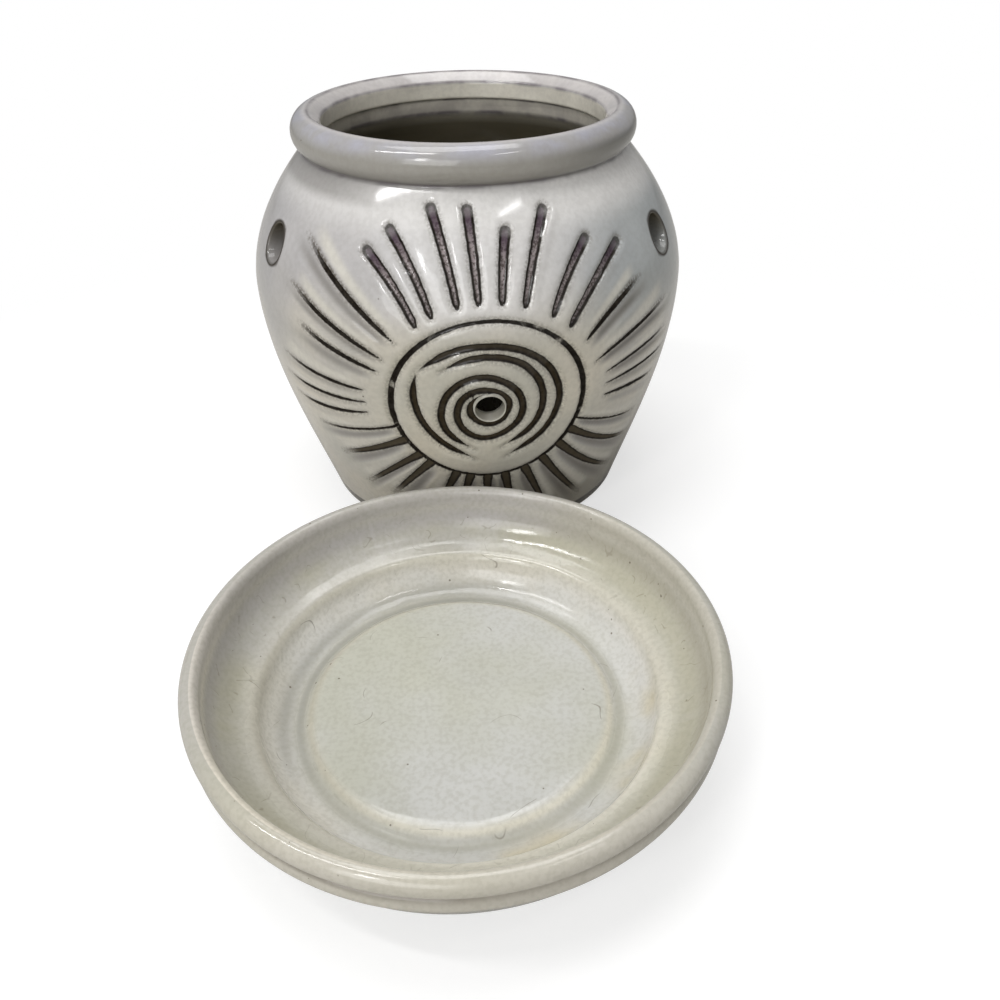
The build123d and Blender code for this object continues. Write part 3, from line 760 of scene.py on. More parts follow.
# a ray's kind follows from how far up it points: 1 is straight up, 0 is level
upper_from, high_side_from, side_from, thin_from = 0.66, 0.3, -0.2, -0.38
seeds = []
for step, (clock, tip) in enumerate(zip(ray_angles, ray_tips)):
    turn, upness = radians(clock), cos(radians(clock))
    before = radians((clock - ray_angles[step - 1]) % 360)
    after = radians((ray_angles[(step + 1) % len(ray_angles)] - clock) % 360)
    is_upper = upness > upper_from
    is_lens = side_from < upness <= upper_from
    if is_upper:
        gap, root_half, tip_half = ray_gap, upper_root_half, upper_tip_half
    elif is_lens:
        gap = ray_gap if upness > high_side_from else ray_side_gap
        root_half = tip_half = side_half + side_half_growth * max(upness, 0)
    elif upness > thin_from:
        gap, root_half, tip_half = 0.0, thin_half, thin_half
    else:
        gap, root_half, tip_half = ray_foot_gap, foot_root_half, foot_tip_half
    if is_lens and clock > 180:
        bow = ray_bow * (1 - left_bow_growth * upness)
    else:
        bow = ray_bow * sin(2 * turn) if upness > 0 else foot_sag.get(clock, 0.0)
    gap_above, gap_below = (before, after) if clock < 180 else (after, before)
    sizes = (turn, sun_radius + gap, tip, root_half, tip_half)
    seeds.append((*sizes, is_upper, is_lens, bow, gap_above, gap_below))
seed_mesh = bpy.data.meshes.new("ray_seeds")
seed_mesh.from_pydata([(0, 0, 0)] * len(seeds), [], [])
seed_labels = ("clock", "root", "tip", "root_half", "tip_half",
               "upper", "lens", "bow", "gap_above", "gap_below")
for label, values in zip(seed_labels, zip(*seeds)):
    layer = seed_mesh.attributes.new(label, "FLOAT", "POINT")
    layer.data.foreach_set("value", [float(value) for value in values])
ray_seeds = bpy.data.objects.new("ray_seeds", seed_mesh)

# each groove as pairs of clock angle and radius, going round by the right
grooves = (
    ((303, 22.6), (325, 21.6), (350, 20.7), (20, 20.5), (50, 20.5), (80, 20.2), (105, 19.5), (135, 19.4),
     (166, 19.4)),
    ((192, 19.6), (215, 18.8), (241, 18.9), (262, 19.7), (280, 20.8), (294, 21.8), (305, 22.7)),
    ((315, 18.1), (335, 17.6), (0, 17.2), (25, 16.8), (45, 16.1), (65, 15.5), (90, 15.0), (115, 14.6),
     (140, 14.7), (167, 14.9)),
    ((196, 15.7), (220, 15.2), (245, 14.4), (270, 13.3), (300, 12.5), (330, 11.8), (358, 11.0), (30, 9.6),
     (60, 9.3), (95, 9.4), (125, 9.7), (158, 10.3), (186, 11.2), (205, 11.1), (228, 10.3), (253, 9.5),
     (288, 8.6), (320, 7.8), (349, 6.8), (29, 6.1), (76, 6.0), (148, 5.9), (195, 5.9), (250, 5.8),
     (290, 5.4), (330, 4.8), (10, 4.0), (60, 3.0)),
)
groove_curve = bpy.data.curves.new("groove_lines", "CURVE")
groove_curve.dimensions = "3D"
for groove in grooves:
    line = groove_curve.splines.new("NURBS")
    line.points.add(len(groove) - 1)
    for point, (clock, reach) in zip(line.points, groove):
        point.co = (reach * sin(radians(clock)), reach * cos(radians(clock)), 0, 1)
    line.order_u = 3
    line.use_endpoint_u = True
    line.resolution_u = 8
groove_lines = bpy.data.objects.new("groove_lines", groove_curve)
print("rays", len(seeds), "grooves", len(grooves))

# %% Tools for geometry trees
GEOMETRY = "GeometryNodeTree"


def named(label):
    """Read a named number from the geometry."""
    return get("GeometryNodeInputNamedAttribute", {"Name": label}, data_type="FLOAT")


def store(geometry, label, value):
    """Write a named number on the geometry's points."""
    inputs = {"Geometry": geometry, "Name": label, "Value": value}
    return get("GeometryNodeStoreNamedAttribute", inputs, data_type="FLOAT", domain="POINT")


def picked(geometry, value, index, kind="FLOAT"):
    """Read a value at one point of another geometry."""
    inputs = {"Geometry": geometry, "Value": value, "Index": index}
    return get("GeometryNodeSampleIndex", inputs, data_type=kind, domain="POINT")


def scaled(direction, amount):
    """A direction times a number."""
    return get("ShaderNodeVectorMath", {0: direction, "Scale": amount}, operation="SCALE")


# %% The tree that carves: points along the rays and the grooves
carve, given = start_group(
    "carve_sun", GEOMETRY, "Geometry", Geometry="Geometry", Rays="Object", Grooves="Object",
    Ring_radius=26.9, Ring_half_width=0.85, Groove_half_width=1.1, Cut_depth=1.3, Flute_depth=0.7,
    Wobble=0.45, Points_in_a_ray=160, Finish="Material")
here = get("GeometryNodeInputPosition")
flat = join(named("across"), named("above"))
rays = get("GeometryNodeObjectInfo", {"Object": given["Rays"]}, "Geometry")
spread = add("GeometryNodeDuplicateElements", {"Geometry": rays, "Amount": given["Points in a ray"]},
             domain="POINT").outputs
share = Value(spread["Duplicate Index"]) / (given["Points in a ray"] - 1)
ray_points = store(Value(spread["Geometry"]), "share", share)
share = named("share")
middle_share = share * (1 - share) * 4
lens = calc("SQRT", middle_share)
point = between(1, ease(share, -0.04, 0.07, 0.45, 1), named("upper"))
half = between(named("root_half"), named("tip_half"), share) * between(point, lens, named("lens"))
ray_points = store(ray_points, "half", half)
reach = between(named("root"), named("tip"), share)
swing = named("clock") - middle_share * named("bow") / reach
spot = join(reach * calc("SINE", swing), reach * calc("COSINE", swing))
ray_points = get("GeometryNodeSetPosition", {"Geometry": ray_points, "Position": spot})

lines = get("GeometryNodeObjectInfo", {"Object": given["Grooves"]}, "Geometry")
lines = get("GeometryNodeResampleCurve", {"Curve": lines, "Length": 0.2}, mode="LENGTH")
run = get("GeometryNodeSplineParameter", output="Length")
rest = get("GeometryNodeSplineLength", output="Length") - run
taper = ease(run, -1, 9) * ease(rest, -1, 9)
lines = store(lines, "half", taper * given["Groove half width"])
groove_points = get("GeometryNodeCurveToPoints", {"Curve": lines}, "Points", mode="EVALUATED")

# %% The tree that carves: distance to the nearest edge of each kind of cut
wander = (noise(flat, 0.45, 2.0) - 0.5) * given["Wobble"]
out = arrow("LENGTH", flat, output="Value")
edges, offset, nearest = {}, {}, {}
for label, points in (("ray", ray_points), ("coil", groove_points)):
    nearest[label] = get(
        "GeometryNodeSampleNearest", {"Geometry": points, "Sample Position": flat}, domain="POINT")
    offset[label] = arrow("SUBTRACT", flat, picked(points, here, nearest[label], "FLOAT_VECTOR"))
    away = arrow("LENGTH", offset[label], output="Value")
    edges[label] = away - picked(points, named("half"), nearest[label]) + wander
upness = named("above") / largest(out, 1)
ring_half = given["Ring half width"] * (1 - upness * upness * 0.4)
edges["ring"] = abs(out - given["Ring radius"]) - ring_half + wander


def at_ray(label):
    """A ray's number, read at the ray point that is nearest."""
    return picked(ray_points, named(label), nearest["ray"])


# %% The tree that carves: hollows and ridges between the rays
along, is_upper, ray_clock = at_ray("share"), at_ray("upper"), at_ray("clock")
ray_up, ray_right = calc("COSINE", ray_clock), calc("SINE", ray_clock)
side_cut = 1 - is_upper
beside = join(ray_up, ray_right * -1)
lower_side = arrow("DOT_PRODUCT", offset["ray"], beside, output="Value") * calc("SIGN", ray_right)
gap_above = lower_side / largest(at_ray("gap_above") * out, 1)
gap_below = lower_side / largest(at_ray("gap_below") * out, 1)
on_left, on_right = ease(ray_up, -0.1, 0.3, 0.3, 0.9), ease(ray_up, -0.1, 0.3, 0.6, 1.3)
at_foot = ease(ray_up, -0.15, -0.3, 0, 0.7)
strength = between(on_left, on_right, ease(ray_right, -0.1, 0.1)) + at_foot
past_root = ease(out - at_ray("root"), -1, 6) * named("outside")
past_tip = out - at_ray("tip")
flute = ease(gap_below, 0.02, 0.28) * ease(gap_below, 0.5, 0.3) * (1 - is_upper * 0.8)
flute = flute * strength * ease(past_tip, 6, -9) * past_root
ends = side_cut * past_root * ease(along, 1, 0.8)
ridge = ease(gap_above, -0.08, -0.26) * ease(gap_above, -0.5, -0.32) * ends
smear = ease(lower_side, -2.6, -0.5) * ease(lower_side, 0.4, 0) * ease(ray_up, 0, 0.35, 0.15, 1)
smear = smear * ends * ease(along, 0, 0.15)

# %% The tree that carves: marks, and the move of the skin
OFF_THE_FLANK = 9.0
geometry, cut = given["Geometry"], 0.0
for label, edge in edges.items():
    edge = edge + (1 - named("outside")) * OFF_THE_FLANK
    geometry = store(geometry, label + "_edge", edge)
    deep = ease(edge, 1.8, -0.2, 0, 0.3) + ease(edge, 0.3, -0.6, 0, 0.7)
    if label == "ray":
        deep = deep * between(ease(along, 1, 0.3, 0.1, 0.8), 1, is_upper)
    cut = largest(cut, deep)
ray_marks = {"hollow": flute, "ridge": ridge, "smear": smear, "along": along, "upper": is_upper}
for label, value in ray_marks.items():
    geometry = store(geometry, label, value)
sink = (cut * given["Cut depth"] + flute * given["Flute depth"]) * -MM
move = scaled(get("GeometryNodeInputNormal"), sink)
end_geometry(get("GeometryNodeSetPosition", {"Geometry": geometry, "Offset": move}), given["Finish"])

# %% Carve the jar
run_nodes(jar_piece, carve, Rays=ray_seeds, Grooves=groove_lines, Ring_radius=sun_radius, Finish=jar_glaze)
bpy.data.objects.remove(ray_seeds)
bpy.data.objects.remove(groove_lines)
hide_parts("jar")
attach(jar_piece, "jar")

# %% [markdown]
# ## The dish's glaze
# The dish has the same glaze, more worn: cream on the ridges, grey-white in the hollows, a warm tint where
# wax has stood, dark specks and a few fine hairs caught in the glaze. Some tints are painted light and shade:
# darker in the creases, at the rear left and on the left ridge, and lighter in the left cove and on the front
# rim.

# %% Dish glaze
DISC_CREAM, DISC_WHITE, COVE_WHITE = (195, 195, 182), (205, 205, 201), (210, 209, 204)
LEFT_COVE_PAINTED_LIGHT, SLOPE_WHITE, WAX_TINT = (240, 238, 232), (228, 225, 218), (208, 196, 162)
BOWL_OLIVE, BOWL_BRUSHED, BOWL_LILAC = (182, 178, 157), (198, 196, 186), (190, 188, 190)
RIM_BROWN, RIM_LILAC, FRONT_RIM_PAINTED_LIGHT = (174, 168, 152), (188, 185, 188), (214, 207, 192)
LIP_CREAM, LEFT_LIP, NOTCH_BROWN = (204, 199, 186), (236, 229, 212), (104, 86, 82)
REAR_RIDGE, FRONT_RIDGE, LEFT_RIDGE_PAINTED_SHADE = (206, 201, 184), (234, 229, 212), (178, 173, 156)
CREASE_PAINTED_SHADE, REAR_SHADE, MOTTLE_OLIVE = (156, 154, 138), (158, 157, 150), (150, 146, 128)
DISH_SPECK, HAIR_BROWN, CRACK_BROWN = (104, 94, 78), (112, 102, 86), (120, 110, 92)
dish_center = (-5.6, -124.7)

dish_glaze = finish("dish_glaze", Roughness=0.14, IOR=1.52)
crest, pool, crease, bowl, rim = map(mark, ("crest", "pool", "crease", "bowl", "rim"))
lip, slope = mark("lip"), mark("slope")
spot = arrow("SUBTRACT", object_place(), (dish_center[0] * MM, dish_center[1] * MM, 0.0))
away = arrow("LENGTH", spot, output="Value")
east, north, _ = split(spot)
rear_left = ease(north - east, -0.005, 0.045)
front_right = ease(east - north, 0, 0.05, 0.2, 0.8)
front = ease(north, 0.01, -0.03)
left = ease(east, 0, -0.042)
front_left = left * ease(north, 0.03, -0.01)
cove = largest(pool, slope)
brushed = mask(streaks, Center_X=dish_center[0] * MM, Center_Y=dish_center[1] * MM, Across=26.0, Along=3.0)
brushed = brushed * mask(clouds, Scale=24.0, Low=0.4, High=0.65, Seed=6.0)
warm = mask(clouds, Scale=30.0, Low=0.44, High=0.62, Seed=2.2) * cove * front_right
# ridge tone: lighter at the front, and darker on the left, which is painted shade
ridge_tone = tint(left * 0.8, tint(front, REAR_RIDGE, FRONT_RIDGE), LEFT_RIDGE_PAINTED_SHADE)
lilac = mask(clouds, Scale=34.0, Low=0.36, High=0.62, Seed=7.7) * rear_left
hair = mask(hairs, Scale=52.0, Width=0.0035, Share=0.17) * ease(away, 0.056, 0.052) * mark("top")
tone = layers(
    tint(mask(clouds, Scale=22.0, Low=0.35, High=0.65), DISC_CREAM, DISC_WHITE),
    (pool * 0.85, COVE_WHITE),
    (bowl * 0.85, BOWL_OLIVE),
    (rim * 0.8, RIM_BROWN),
    (brushed * bowl * 0.6, BOWL_BRUSHED),
    (slope * 0.8, SLOPE_WHITE),
    (lip * 0.55, LIP_CREAM),
    (lip * front_left * 0.8, LEFT_LIP),
    # painted light on the left of the cove
    (left * cove * 0.75, LEFT_COVE_PAINTED_LIGHT),
    (warm, WAX_TINT),
    (crest * 0.7, ridge_tone),
    # painted shade in the crease round the disc
    (crease * 0.6, CREASE_PAINTED_SHADE),
    (largest(crease, mark("gutter")) * rear_left * 0.75, REAR_SHADE),
    (lilac * bowl * 0.5, BOWL_LILAC),
    (rim * rear_left * 0.55, RIM_LILAC),
    # painted light on the front of the rim and the band below it
    (rim * ease(north, -0.03, -0.055) * 0.6, FRONT_RIM_PAINTED_LIGHT),
    (mark("notch") * ease(east, 0.012, -0.01, 0.35, 0.85), NOTCH_BROWN),
    (mask(clouds, Scale=900.0, Low=0.38, High=0.70, Detail=4.0, Seed=1.3) * 0.22, MOTTLE_OLIVE),
    (mask(specks, Scale=330.0, Size=0.10, Share=0.26) * 0.8, DISH_SPECK),
    (hair * 0.6, HAIR_BROWN),
    (mask(hairs, Scale=150.0, Width=0.014, Share=0.24) * bowl * 0.4, CRACK_BROWN),
)
worn = mask(clouds, Scale=90.0) * 0.12 + crest * front * 0.3 + 0.1
paint(Base_Color=tone, Roughness=crease * 0.3 + worn)
bump(mask(ripple, Broad=55.0, Fine=900.0, Fine_share=0.03), 0.0010)
print(dish_glaze.name, len(dish_glaze.node_tree.nodes), "nodes")

# %% [markdown]
# ## The dish
# A rolled rim over a second band, a bowl wall, a ridge, a cove and a flat disc: one section, spun. Its
# marks come from the distance to the section's own corners.

# %% Section of the dish
dish_radius, dish_height, rim_bead, band_bead, band_setback, band_spacing = 62.0, 30.0, 2.6, 2.6, 0.6, 5.4
disc_radius, disc_height, disc_step, ridge_radius, ridge_height = 35.8, 8.6, 2.0, 47.4, 15.2
dish_foot_radius, dish_foot_height, dish_foot_inner, dish_foot_recess = 39.3, 4.0, 33.7, 3.0
seat_radius, dish_wall, rim_inner, notch_depth = 45.5, 4.4, 1.7, 0.9
disc_rounding, crease_width, ridge_rounding, foot_rounding = 2.4, 0.8, 3.0, 0.8
rim_center = np.array((dish_radius - rim_bead, dish_height - rim_bead))
band_center = np.array((dish_radius - band_setback - band_bead, rim_center[1] - band_spacing))
crease = np.array((disc_radius + disc_step + crease_width, disc_height - disc_step))
ridge = np.array((ridge_radius, ridge_height))
bowl_top = rim_center - (rim_inner, 0)
cove = bezier((crease, (ridge_radius - disc_step, crease[1]), ridge), 30)
bowl = bezier((ridge, (bowl_top[0], ridge_height + disc_step), bowl_top), 40)
rim_arc = arc(rim_center, rim_bead, 176, -52, 40)
inward = rim_arc[:, 0] < rim_center[0]
rim_arc[inward, 0] = rim_center[0] + (rim_arc[inward, 0] - rim_center[0]) * rim_inner / rim_bead
band_arc = arc(band_center, band_bead, 52, -84, 26)
wall_bend = (band_center[0], dish_foot_height + dish_wall)
outside_wall = bezier((band_center, wall_bend, (seat_radius, dish_foot_height)), 60)
outside_wall = outside_wall[outside_wall[:, 1] < band_arc[-1, 1] - 0.2]
notch_bend = (rim_arc[-1] + band_arc[0]) / 2 - (notch_depth, 0)
notch = bezier((rim_arc[-1], notch_bend, band_arc[0]), 7)[1:-1]
disc_flat = disc_radius - disc_rounding
disc_bends = (disc_radius + 0.6, disc_height), (disc_radius + 1.0, crease[1])
disc_edge = bezier(((disc_flat, disc_height), *disc_bends, crease), 16)
ridge_line = soften([cove[-8], ridge, bowl[8]], ridge_rounding, 9)
under_corners = [
    *outside_wall[-2:], (dish_foot_radius, dish_foot_height), (dish_foot_radius, 0.0),
    (dish_foot_inner, 0.0), (dish_foot_inner, dish_foot_recess), (0.0, dish_foot_recess)]
under_line = soften(under_corners, foot_rounding, 4)
disc_line = np.stack([np.linspace(0, disc_flat, 24), np.full(24, disc_height)], axis=1)
top_line = np.vstack([disc_line, disc_edge[1:], cove[1:-8], ridge_line, bowl[9:-1], rim_arc])
dish_section = np.vstack([top_line, notch, band_arc, outside_wall[:-2], under_line])

# %% Dish
DISH_COLUMNS = 256
place = np.repeat(dish_section, DISH_COLUMNS, axis=0)
reach, height = place.T


def distance(corner):
    """Distance of each point of the dish from a corner of its section."""
    return np.hypot(*(place - corner).T)


def close_to(corner, width):
    """How close each point of the dish is to a corner of its section, from 0 to 1."""
    return np.exp(-(distance(corner) / width) ** 2)


def on_bead(center, radius):
    """One on a rolled bead, and nought a little way off."""
    return np.clip(1.5 - distance(center) / radius / 1.2, 0, 1)


height_share = np.clip((height - ridge_height) / (bowl_top[1] - ridge_height), 0, 1)
within_rim = reach < rim_center[0]
is_top = np.arange(len(dish_section)) < len(top_line)
dish_marks = {
    "crest": np.maximum(close_to(ridge, 2.2), close_to(disc_edge[6], 1.2)),
    "pool": np.maximum(close_to(cove[14], 5.0), close_to(cove[23], 4.0)),
    "crease": close_to(crease, 1.4),
    "bowl": np.sin(pi * np.sqrt(height_share)) * within_rim,
    "rim": np.maximum(on_bead(rim_center, rim_bead), on_bead(band_center, band_bead)),
    "notch": close_to(notch[3], 0.9),
    "gutter": close_to(cove[8], 2.6),
    "slope": close_to(cove[24], 2.8),
    "lip": np.clip((height_share - 0.62) / 0.2, 0, 1) * within_rim,
    "top": np.repeat(is_top, DISH_COLUMNS),
}
dish_piece = make_piece("dish_glazed", *spin(dish_section, DISH_COLUMNS, dish_center), dish_marks)
dish_piece.data.materials.append(dish_glaze)
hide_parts("dish")
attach(dish_piece, "dish")

# %% [markdown]
# ## Finishes of the lamp and the foot
# Metals differ in colour, tarnish and grain, so one function makes them all. Moulded and pressed materials
# share a second function with a little mottling and a fine grain, and the two kinds of glass a third.

# %% Finishes
finishes = {}


def metal(name, bright, dull, smooth, rough):
    """A metal whose tarnish dims its colour and raises its roughness."""
    finishes[name] = finish(name, Metallic=1.0)
    tarnish = mask(clouds, Scale=300.0, Low=0.35, High=0.7)
    paint(Base_Color=tint(tarnish, bright, dull), Roughness=between(smooth, rough, tarnish))
    bump(mask(ripple, Broad=300.0, Fine=6000.0, Fine_share=0.4), 0.00004)


def moulded(name, base, fleck, smooth, grain, depth, **even):
    """A moulded or pressed material with mottling and a fine grain."""
    finishes[name] = finish(name, **even)
    mottle = mask(clouds, Scale=grain * 0.4, Low=0.4, High=0.65)
    paint(Base_Color=tint(mottle, base, fleck), Roughness=mottle * 0.1 + smooth)
    bump(mask(ripple, Broad=grain, Fine=grain * 4, Fine_share=0.5), depth)


def clear_glass(name, tone, wave):
    """Clear glass whose slight waves come from drawing."""
    finishes[name] = finish(name, Base_Color=tone, IOR=1.5, Transmission_Weight=1.0)
    paint(Roughness=mask(clouds, Scale=160.0, Low=0.5, High=0.75) * 0.05)
    bump(mask(ripple, Broad=90.0, Fine=400.0, Fine_share=0.1), wave)


metal("zinc_steel", (206, 207, 206), (166, 168, 170), 0.28, 0.5)
metal("contact_brass", (222, 184, 106), (176, 136, 74), 0.22, 0.45)
metal("cap_nickel", (218, 214, 204), (184, 178, 166), 0.18, 0.36)
metal("solder_tip", (196, 196, 196), (150, 150, 152), 0.35, 0.6)
metal("lead_nickel", (190, 188, 182), (150, 146, 140), 0.3, 0.5)
metal("tungsten", (132, 132, 134), (92, 92, 96), 0.3, 0.5)
moulded("pad_felt", (46, 45, 46), (66, 64, 64), 0.88, 900.0, 0.0004, Sheen_Weight=0.3)
moulded("grommet_rubber", (30, 30, 31), (42, 41, 41), 0.55, 700.0, 0.00005)
moulded("red_fibre", (142, 60, 44), (112, 44, 34), 0.7, 600.0, 0.00008)
moulded("black_phenolic", (24, 23, 22), (40, 37, 34), 0.25, 800.0, 0.00002)
moulded("white_porcelain", (232, 229, 216), (218, 214, 200), 0.4, 500.0, 0.00003)
moulded("black_vitrite", (18, 18, 22), (30, 29, 36), 0.06, 300.0, 0.00002)
clear_glass("bulb_glass", (0.98, 0.98, 0.97, 1.0), 0.00003)
clear_glass("stem_glass", (0.94, 0.95, 0.93, 1.0), 0.00006)
for subpart in frame["record"]["subparts"]:
    materials = frame["nodes"][subpart["node"]].data.materials
    if subpart["material_slot"] in finishes:
        materials.clear()
        materials.append(finishes[subpart["material_slot"]])
print("finishes", len(finishes))

# %% [markdown]
# ## Screw threads
# The solids carry threads as plain cylinders. Here the brass shell, the bulb's cap and the nipple get
# theirs from one tree: it pulls a point towards the axis by a wave of its height and its angle, so that the
# wave climbs by one pitch in each turn.

# %% The tree that cuts threads
thread, given = start_group(
    "screw_thread", GEOMETRY, "Geometry", Geometry="Geometry", Pitch=0.0028, Depth=0.0005, Low=0.0,
    High=0.01, Roundness=1.0, Finish="Material")
east, north, rise = split(get("GeometryNodeInputPosition"))
phase = rise / given["Pitch"] - calc("ARCTAN2", north, east) / tau
wave = calc("PINGPONG", phase, 0.5) * 2
wave = between(wave, ease(wave, 0, 1), given["Roundness"])
lead_in = ease(rise, given["Low"], given["Low"] + given["Pitch"])
lead_out = ease(rise, given["High"], given["High"] - given["Pitch"])
sink = wave * (lead_in * lead_out) * named("threaded") * (given["Depth"] * -1)
move = scaled(arrow("NORMALIZE", join(east, north)), sink)
end_geometry(get("GeometryNodeSetPosition", {"Geometry": given["Geometry"], "Offset": move}), given["Finish"])

# %% Cap, shell and nipple with threads
cap_z, cap_top_z, cap_radius, cap_wall, tip_radius = 44.7, 60.7, 6.9, 0.4, 2.6
shell_z, shell_top_z, shell_bore, shell_radius = 39.7, 54.7, 7.2, 7.7
nipple_z, nipple_top_z, nipple_bore, nipple_radius = 7.7, 27.2, 3.2, 5.0
COARSE_ROW, FINE_ROW, THREAD_COLUMNS = 0.22, 0.1, 72
lamp_pitch, nipple_pitch = 2.82, 1.0


def tube(low, high, inner_radius, outer_radius, row):
    """Section of a plain tube, with rows close enough to take a thread."""
    heights = np.linspace(low, high, int((high - low) / row) + 1)
    up = np.stack([np.full(len(heights), outer_radius), heights], axis=1)
    back = np.stack([np.full(len(heights), inner_radius), heights[::-1]], axis=1)
    return np.vstack([up, back])


cap_bottom = [(tip_radius, cap_z + cap_wall), (tip_radius, cap_z), (cap_radius - cap_wall, cap_z)]
cap_tube = tube(cap_z + cap_wall, cap_top_z, cap_radius - cap_wall, cap_radius, COARSE_ROW)
cap_section = np.vstack([cap_bottom, cap_tube])
shell_section = tube(shell_z, shell_top_z, shell_bore, shell_radius, COARSE_ROW)
nipple_section = tube(nipple_z, nipple_top_z, nipple_bore, nipple_radius, FINE_ROW)
# piece, node, body, slot, section, then least radius that is cut, pitch, depth, start, end and roundness
threads = (
    ("cap_threaded", "bulb_cap", "bulb", "cap_nickel", cap_section,
     0.0, lamp_pitch, 0.5, 45.2, 52.6, 1.0),
    ("shell_threaded", "screw_shell", "jar", "contact_brass", shell_section,
     0.0, lamp_pitch, 0.22, 40.5, 53.0, 1.0),
    ("nipple_threaded", "threaded_nipple", "jar", "zinc_steel", nipple_section,
     4.0, nipple_pitch, 0.45, 7.2, 27.7, 0.0),
)
for name, node, body, slot, section, cut_from, pitch, depth, low, high, roundness in threads:
    points, faces = spin(section, THREAD_COLUMNS)
    is_cut = np.hypot(*np.array(points)[:, :2].T) > cut_from
    piece = make_piece(name, points, faces, {"threaded": is_cut})
    run_nodes(piece, thread, Pitch=pitch * MM, Depth=depth * MM, Low=low * MM, High=high * MM,
              Roundness=roundness, Finish=finishes[slot])
    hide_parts(node)
    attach(piece, body)

# %% [markdown]
# ## The bulb's envelope and filament
# The envelope is blown glass, so it is spun from a smooth section. The filament is a wound coil that sags
# between its two wires. A tree winds it: it takes a row of points and sets each one's place from its
# number.

# %% Envelope
neck_radius, neck_low_z, bulb_radius, glass_wall, bulb_center_z = 6.2, 52.7, 12.5, 0.7, 82.2


def envelope(radius, neck):
    """Outline of the bulb from its neck to its crown."""
    bend = (bulb_center_z - cap_top_z) / 2
    flank_line = bezier(((neck, cap_top_z), (neck, cap_top_z + bend), (radius, bulb_center_z - bend),
                         (radius, bulb_center_z)), 28)
    return np.vstack([[(neck, neck_low_z)], flank_line, arc((0, bulb_center_z), radius, 0, 90, 28)[1:]])


glass_section = np.vstack([envelope(bulb_radius, neck_radius),
                           envelope(bulb_radius - glass_wall, neck_radius - glass_wall)[::-1]])
glass_piece = make_piece("bulb_envelope", *spin(glass_section, 96))
glass_piece.data.materials.append(finishes["bulb_glass"])
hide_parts("bulb_glass")
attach(glass_piece, "bulb")

# %% Filament
wind, given = start_group(
    "wound_coil", GEOMETRY, "Geometry", Geometry="Geometry", Turns=30.0, Points=360, Half_span=0.0045,
    Height=0.0793, Sag=0.0011, Coil_radius=0.00022, Wire_radius=0.00007, Finish="Material")
row = get("GeometryNodeMeshLine", {"Count": given["Points"]})
share = get("GeometryNodeInputIndex") / (given["Points"] - 1)
side = share * 2 - 1
swing = share * given["Turns"] * tau
reach = ease(share, 0.01, 0.05) * ease(share, 0.99, 0.95) * given["Coil radius"]
level = given["Height"] - (1 - side * side) * given["Sag"]
spot = join(side * given["Half span"], reach * calc("SINE", swing), reach * calc("COSINE", swing) + level)
row = get("GeometryNodeSetPosition", {"Geometry": row, "Position": spot})
path = get("GeometryNodeMeshToCurve", {"Mesh": row})
wire = get("GeometryNodeCurvePrimitiveCircle", {"Resolution": 6, "Radius": given["Wire radius"]})
coil = get("GeometryNodeCurveToMesh", {"Curve": path, "Profile Curve": wire, "Fill Caps": True})
end_geometry(coil, given["Finish"])
# the tree needs some mesh to start from, and puts the coil in its place
filament_piece = make_piece("filament_coil", [(0, 0, 79), (1, 0, 79), (0, 1, 79)], [(0, 1, 2)])
run_nodes(filament_piece, wind, Finish=finishes["tungsten"])
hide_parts("filament")
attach(filament_piece, "bulb")


# %% [markdown]
# ## Floor, light and camera
# The floor is pale and plain. Soft panels light the object at a level where a colour comes out about as it
# is written.

# %% Floor and world
def open_empty(owner):
    """Open the tree of a material or a world, emptied."""
    owner.use_nodes = True
    Value.tree = owner.node_tree
    Value.tree.nodes.clear()


def seen_directly():
    """One for what the camera sees, also through glass, and nought for light that bounces."""
    path = add("ShaderNodeLightPath").outputs
    return largest(Value(path["Is Camera Ray"]), Value(path["Is Transmission Ray"]))


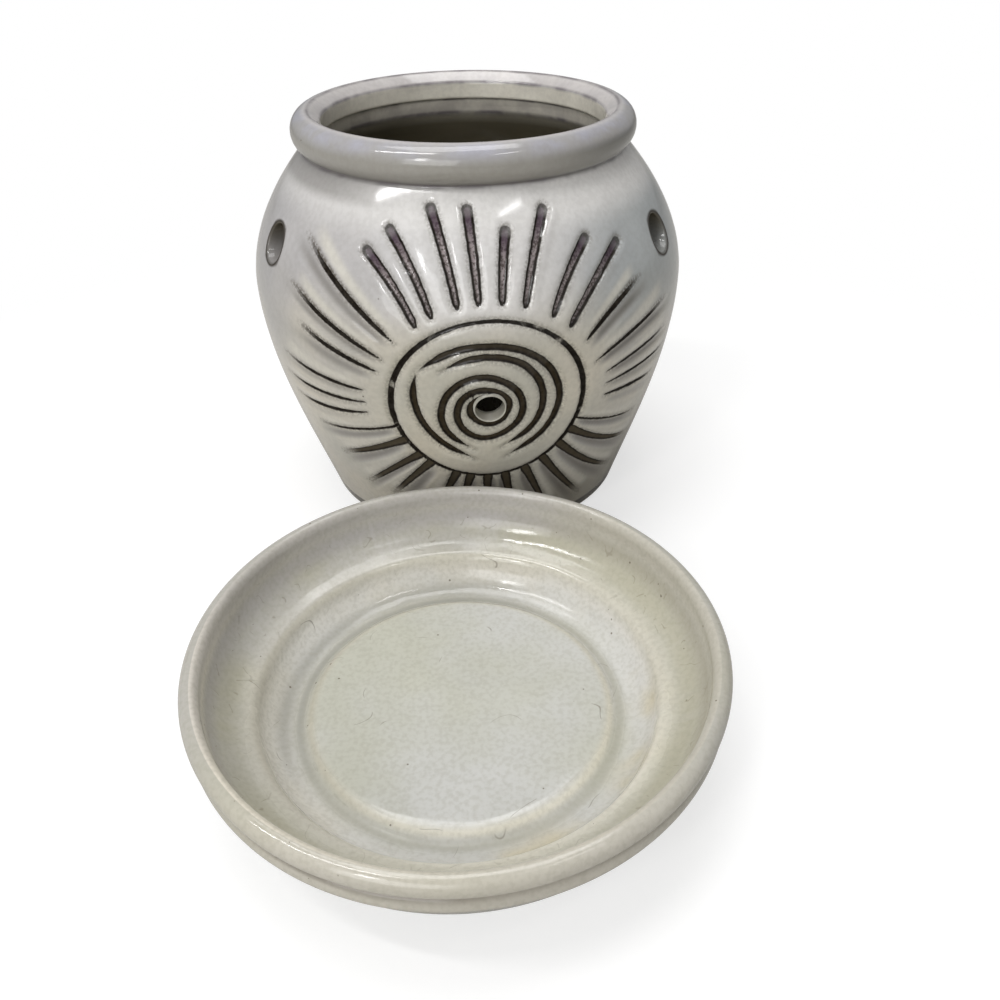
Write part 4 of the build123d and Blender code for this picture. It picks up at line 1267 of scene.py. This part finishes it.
WHITE = (1, 1, 1, 1)
bpy.ops.mesh.primitive_plane_add(size=8.0)
ground = bpy.context.active_object
ground.name = "floor"
ground_white = bpy.data.materials.new("floor_white")
open_empty(ground_white)
far = ease(arrow("DISTANCE", object_place(), (0.0, -0.06, 0.0), output="Value"), 0.16, 0.30)
plain = get("ShaderNodeBsdfDiffuse", {"Color": colour(206, 204, 200)})
pale = get("ShaderNodeBsdfDiffuse", {"Color": colour(182, 182, 182)})
glow = get("ShaderNodeEmission", {"Color": WHITE, "Strength": 0.62})
white = get("ShaderNodeEmission", {"Color": WHITE, "Strength": 1.0})
lit = get("ShaderNodeAddShader", {0: pale, 1: glow})
backdrop = get("ShaderNodeMixShader", {0: far, 1: lit, 2: white})
surface = get("ShaderNodeMixShader", {0: seen_directly(), 1: plain, 2: backdrop})
add("ShaderNodeOutputMaterial", {"Surface": surface})
ground.data.materials.append(ground_white)

world = bpy.data.worlds.new("studio")
bpy.context.scene.world = world
open_empty(world)
sky = get("ShaderNodeBackground", {"Color": WHITE, "Strength": seen_directly() * 0.72 + 0.28})
add("ShaderNodeOutputWorld", {"Surface": sky})


# %% Lights
def panel(name, place, target, size, power, twist=0):
    """A soft rectangular light aimed at a point, in metres, watts and degrees."""
    data = bpy.data.lights.new(name, "AREA")
    data.shape = "RECTANGLE"
    data.size, data.size_y = size
    data.energy = power
    light = bpy.data.objects.new(name, data)
    bpy.context.collection.objects.link(light)
    light.location = place
    light.rotation_euler = (Vector(target) - Vector(place)).to_track_quat("-Z", "Y").to_euler()
    light.rotation_euler.rotate_axis("Z", radians(twist))


middle = (0.0, -0.06, 0.05)
panel("window", (-0.34, -0.60, 0.56), middle, (0.09, 0.16), 0.6)
panel("front", (-0.30, -0.74, 0.42), middle, (0.50, 0.40), 1.7)
panel("ceiling", (-0.05, 0.10, 1.05), middle, (0.70, 0.50), 4.6)
panel("left_lamp", (-0.42, -0.25, 0.89), middle, (0.05, 0.48), 2.1, -45)
panel("right_lamp", (0.31, -0.41, 0.84), middle, (0.20, 0.03), 0.3)

# %% Camera
camera_place = Vector((0.0, -0.27573, 0.17657))
pitch, yaw, roll = radians(35.70), radians(1.80), radians(0.91)
ahead = Vector((sin(yaw) * cos(pitch), cos(yaw) * cos(pitch), -sin(pitch)))
right = Vector((cos(yaw), -sin(yaw), 0))
down = ahead.cross(right)
image_right = right * cos(roll) + down * sin(roll)
image_up = right * sin(roll) - down * cos(roll)
camera_data = bpy.data.cameras.new("camera")
camera_data.sensor_width = 36.0
camera_data.lens = 32.75
camera = bpy.data.objects.new("camera", camera_data)
bpy.context.collection.objects.link(camera)
turned = Matrix((image_right, image_up, -ahead)).transposed().to_4x4()
camera.matrix_world = Matrix.Translation(camera_place) @ turned
bpy.context.scene.camera = camera
bpy.context.scene.view_settings.view_transform = "Standard"
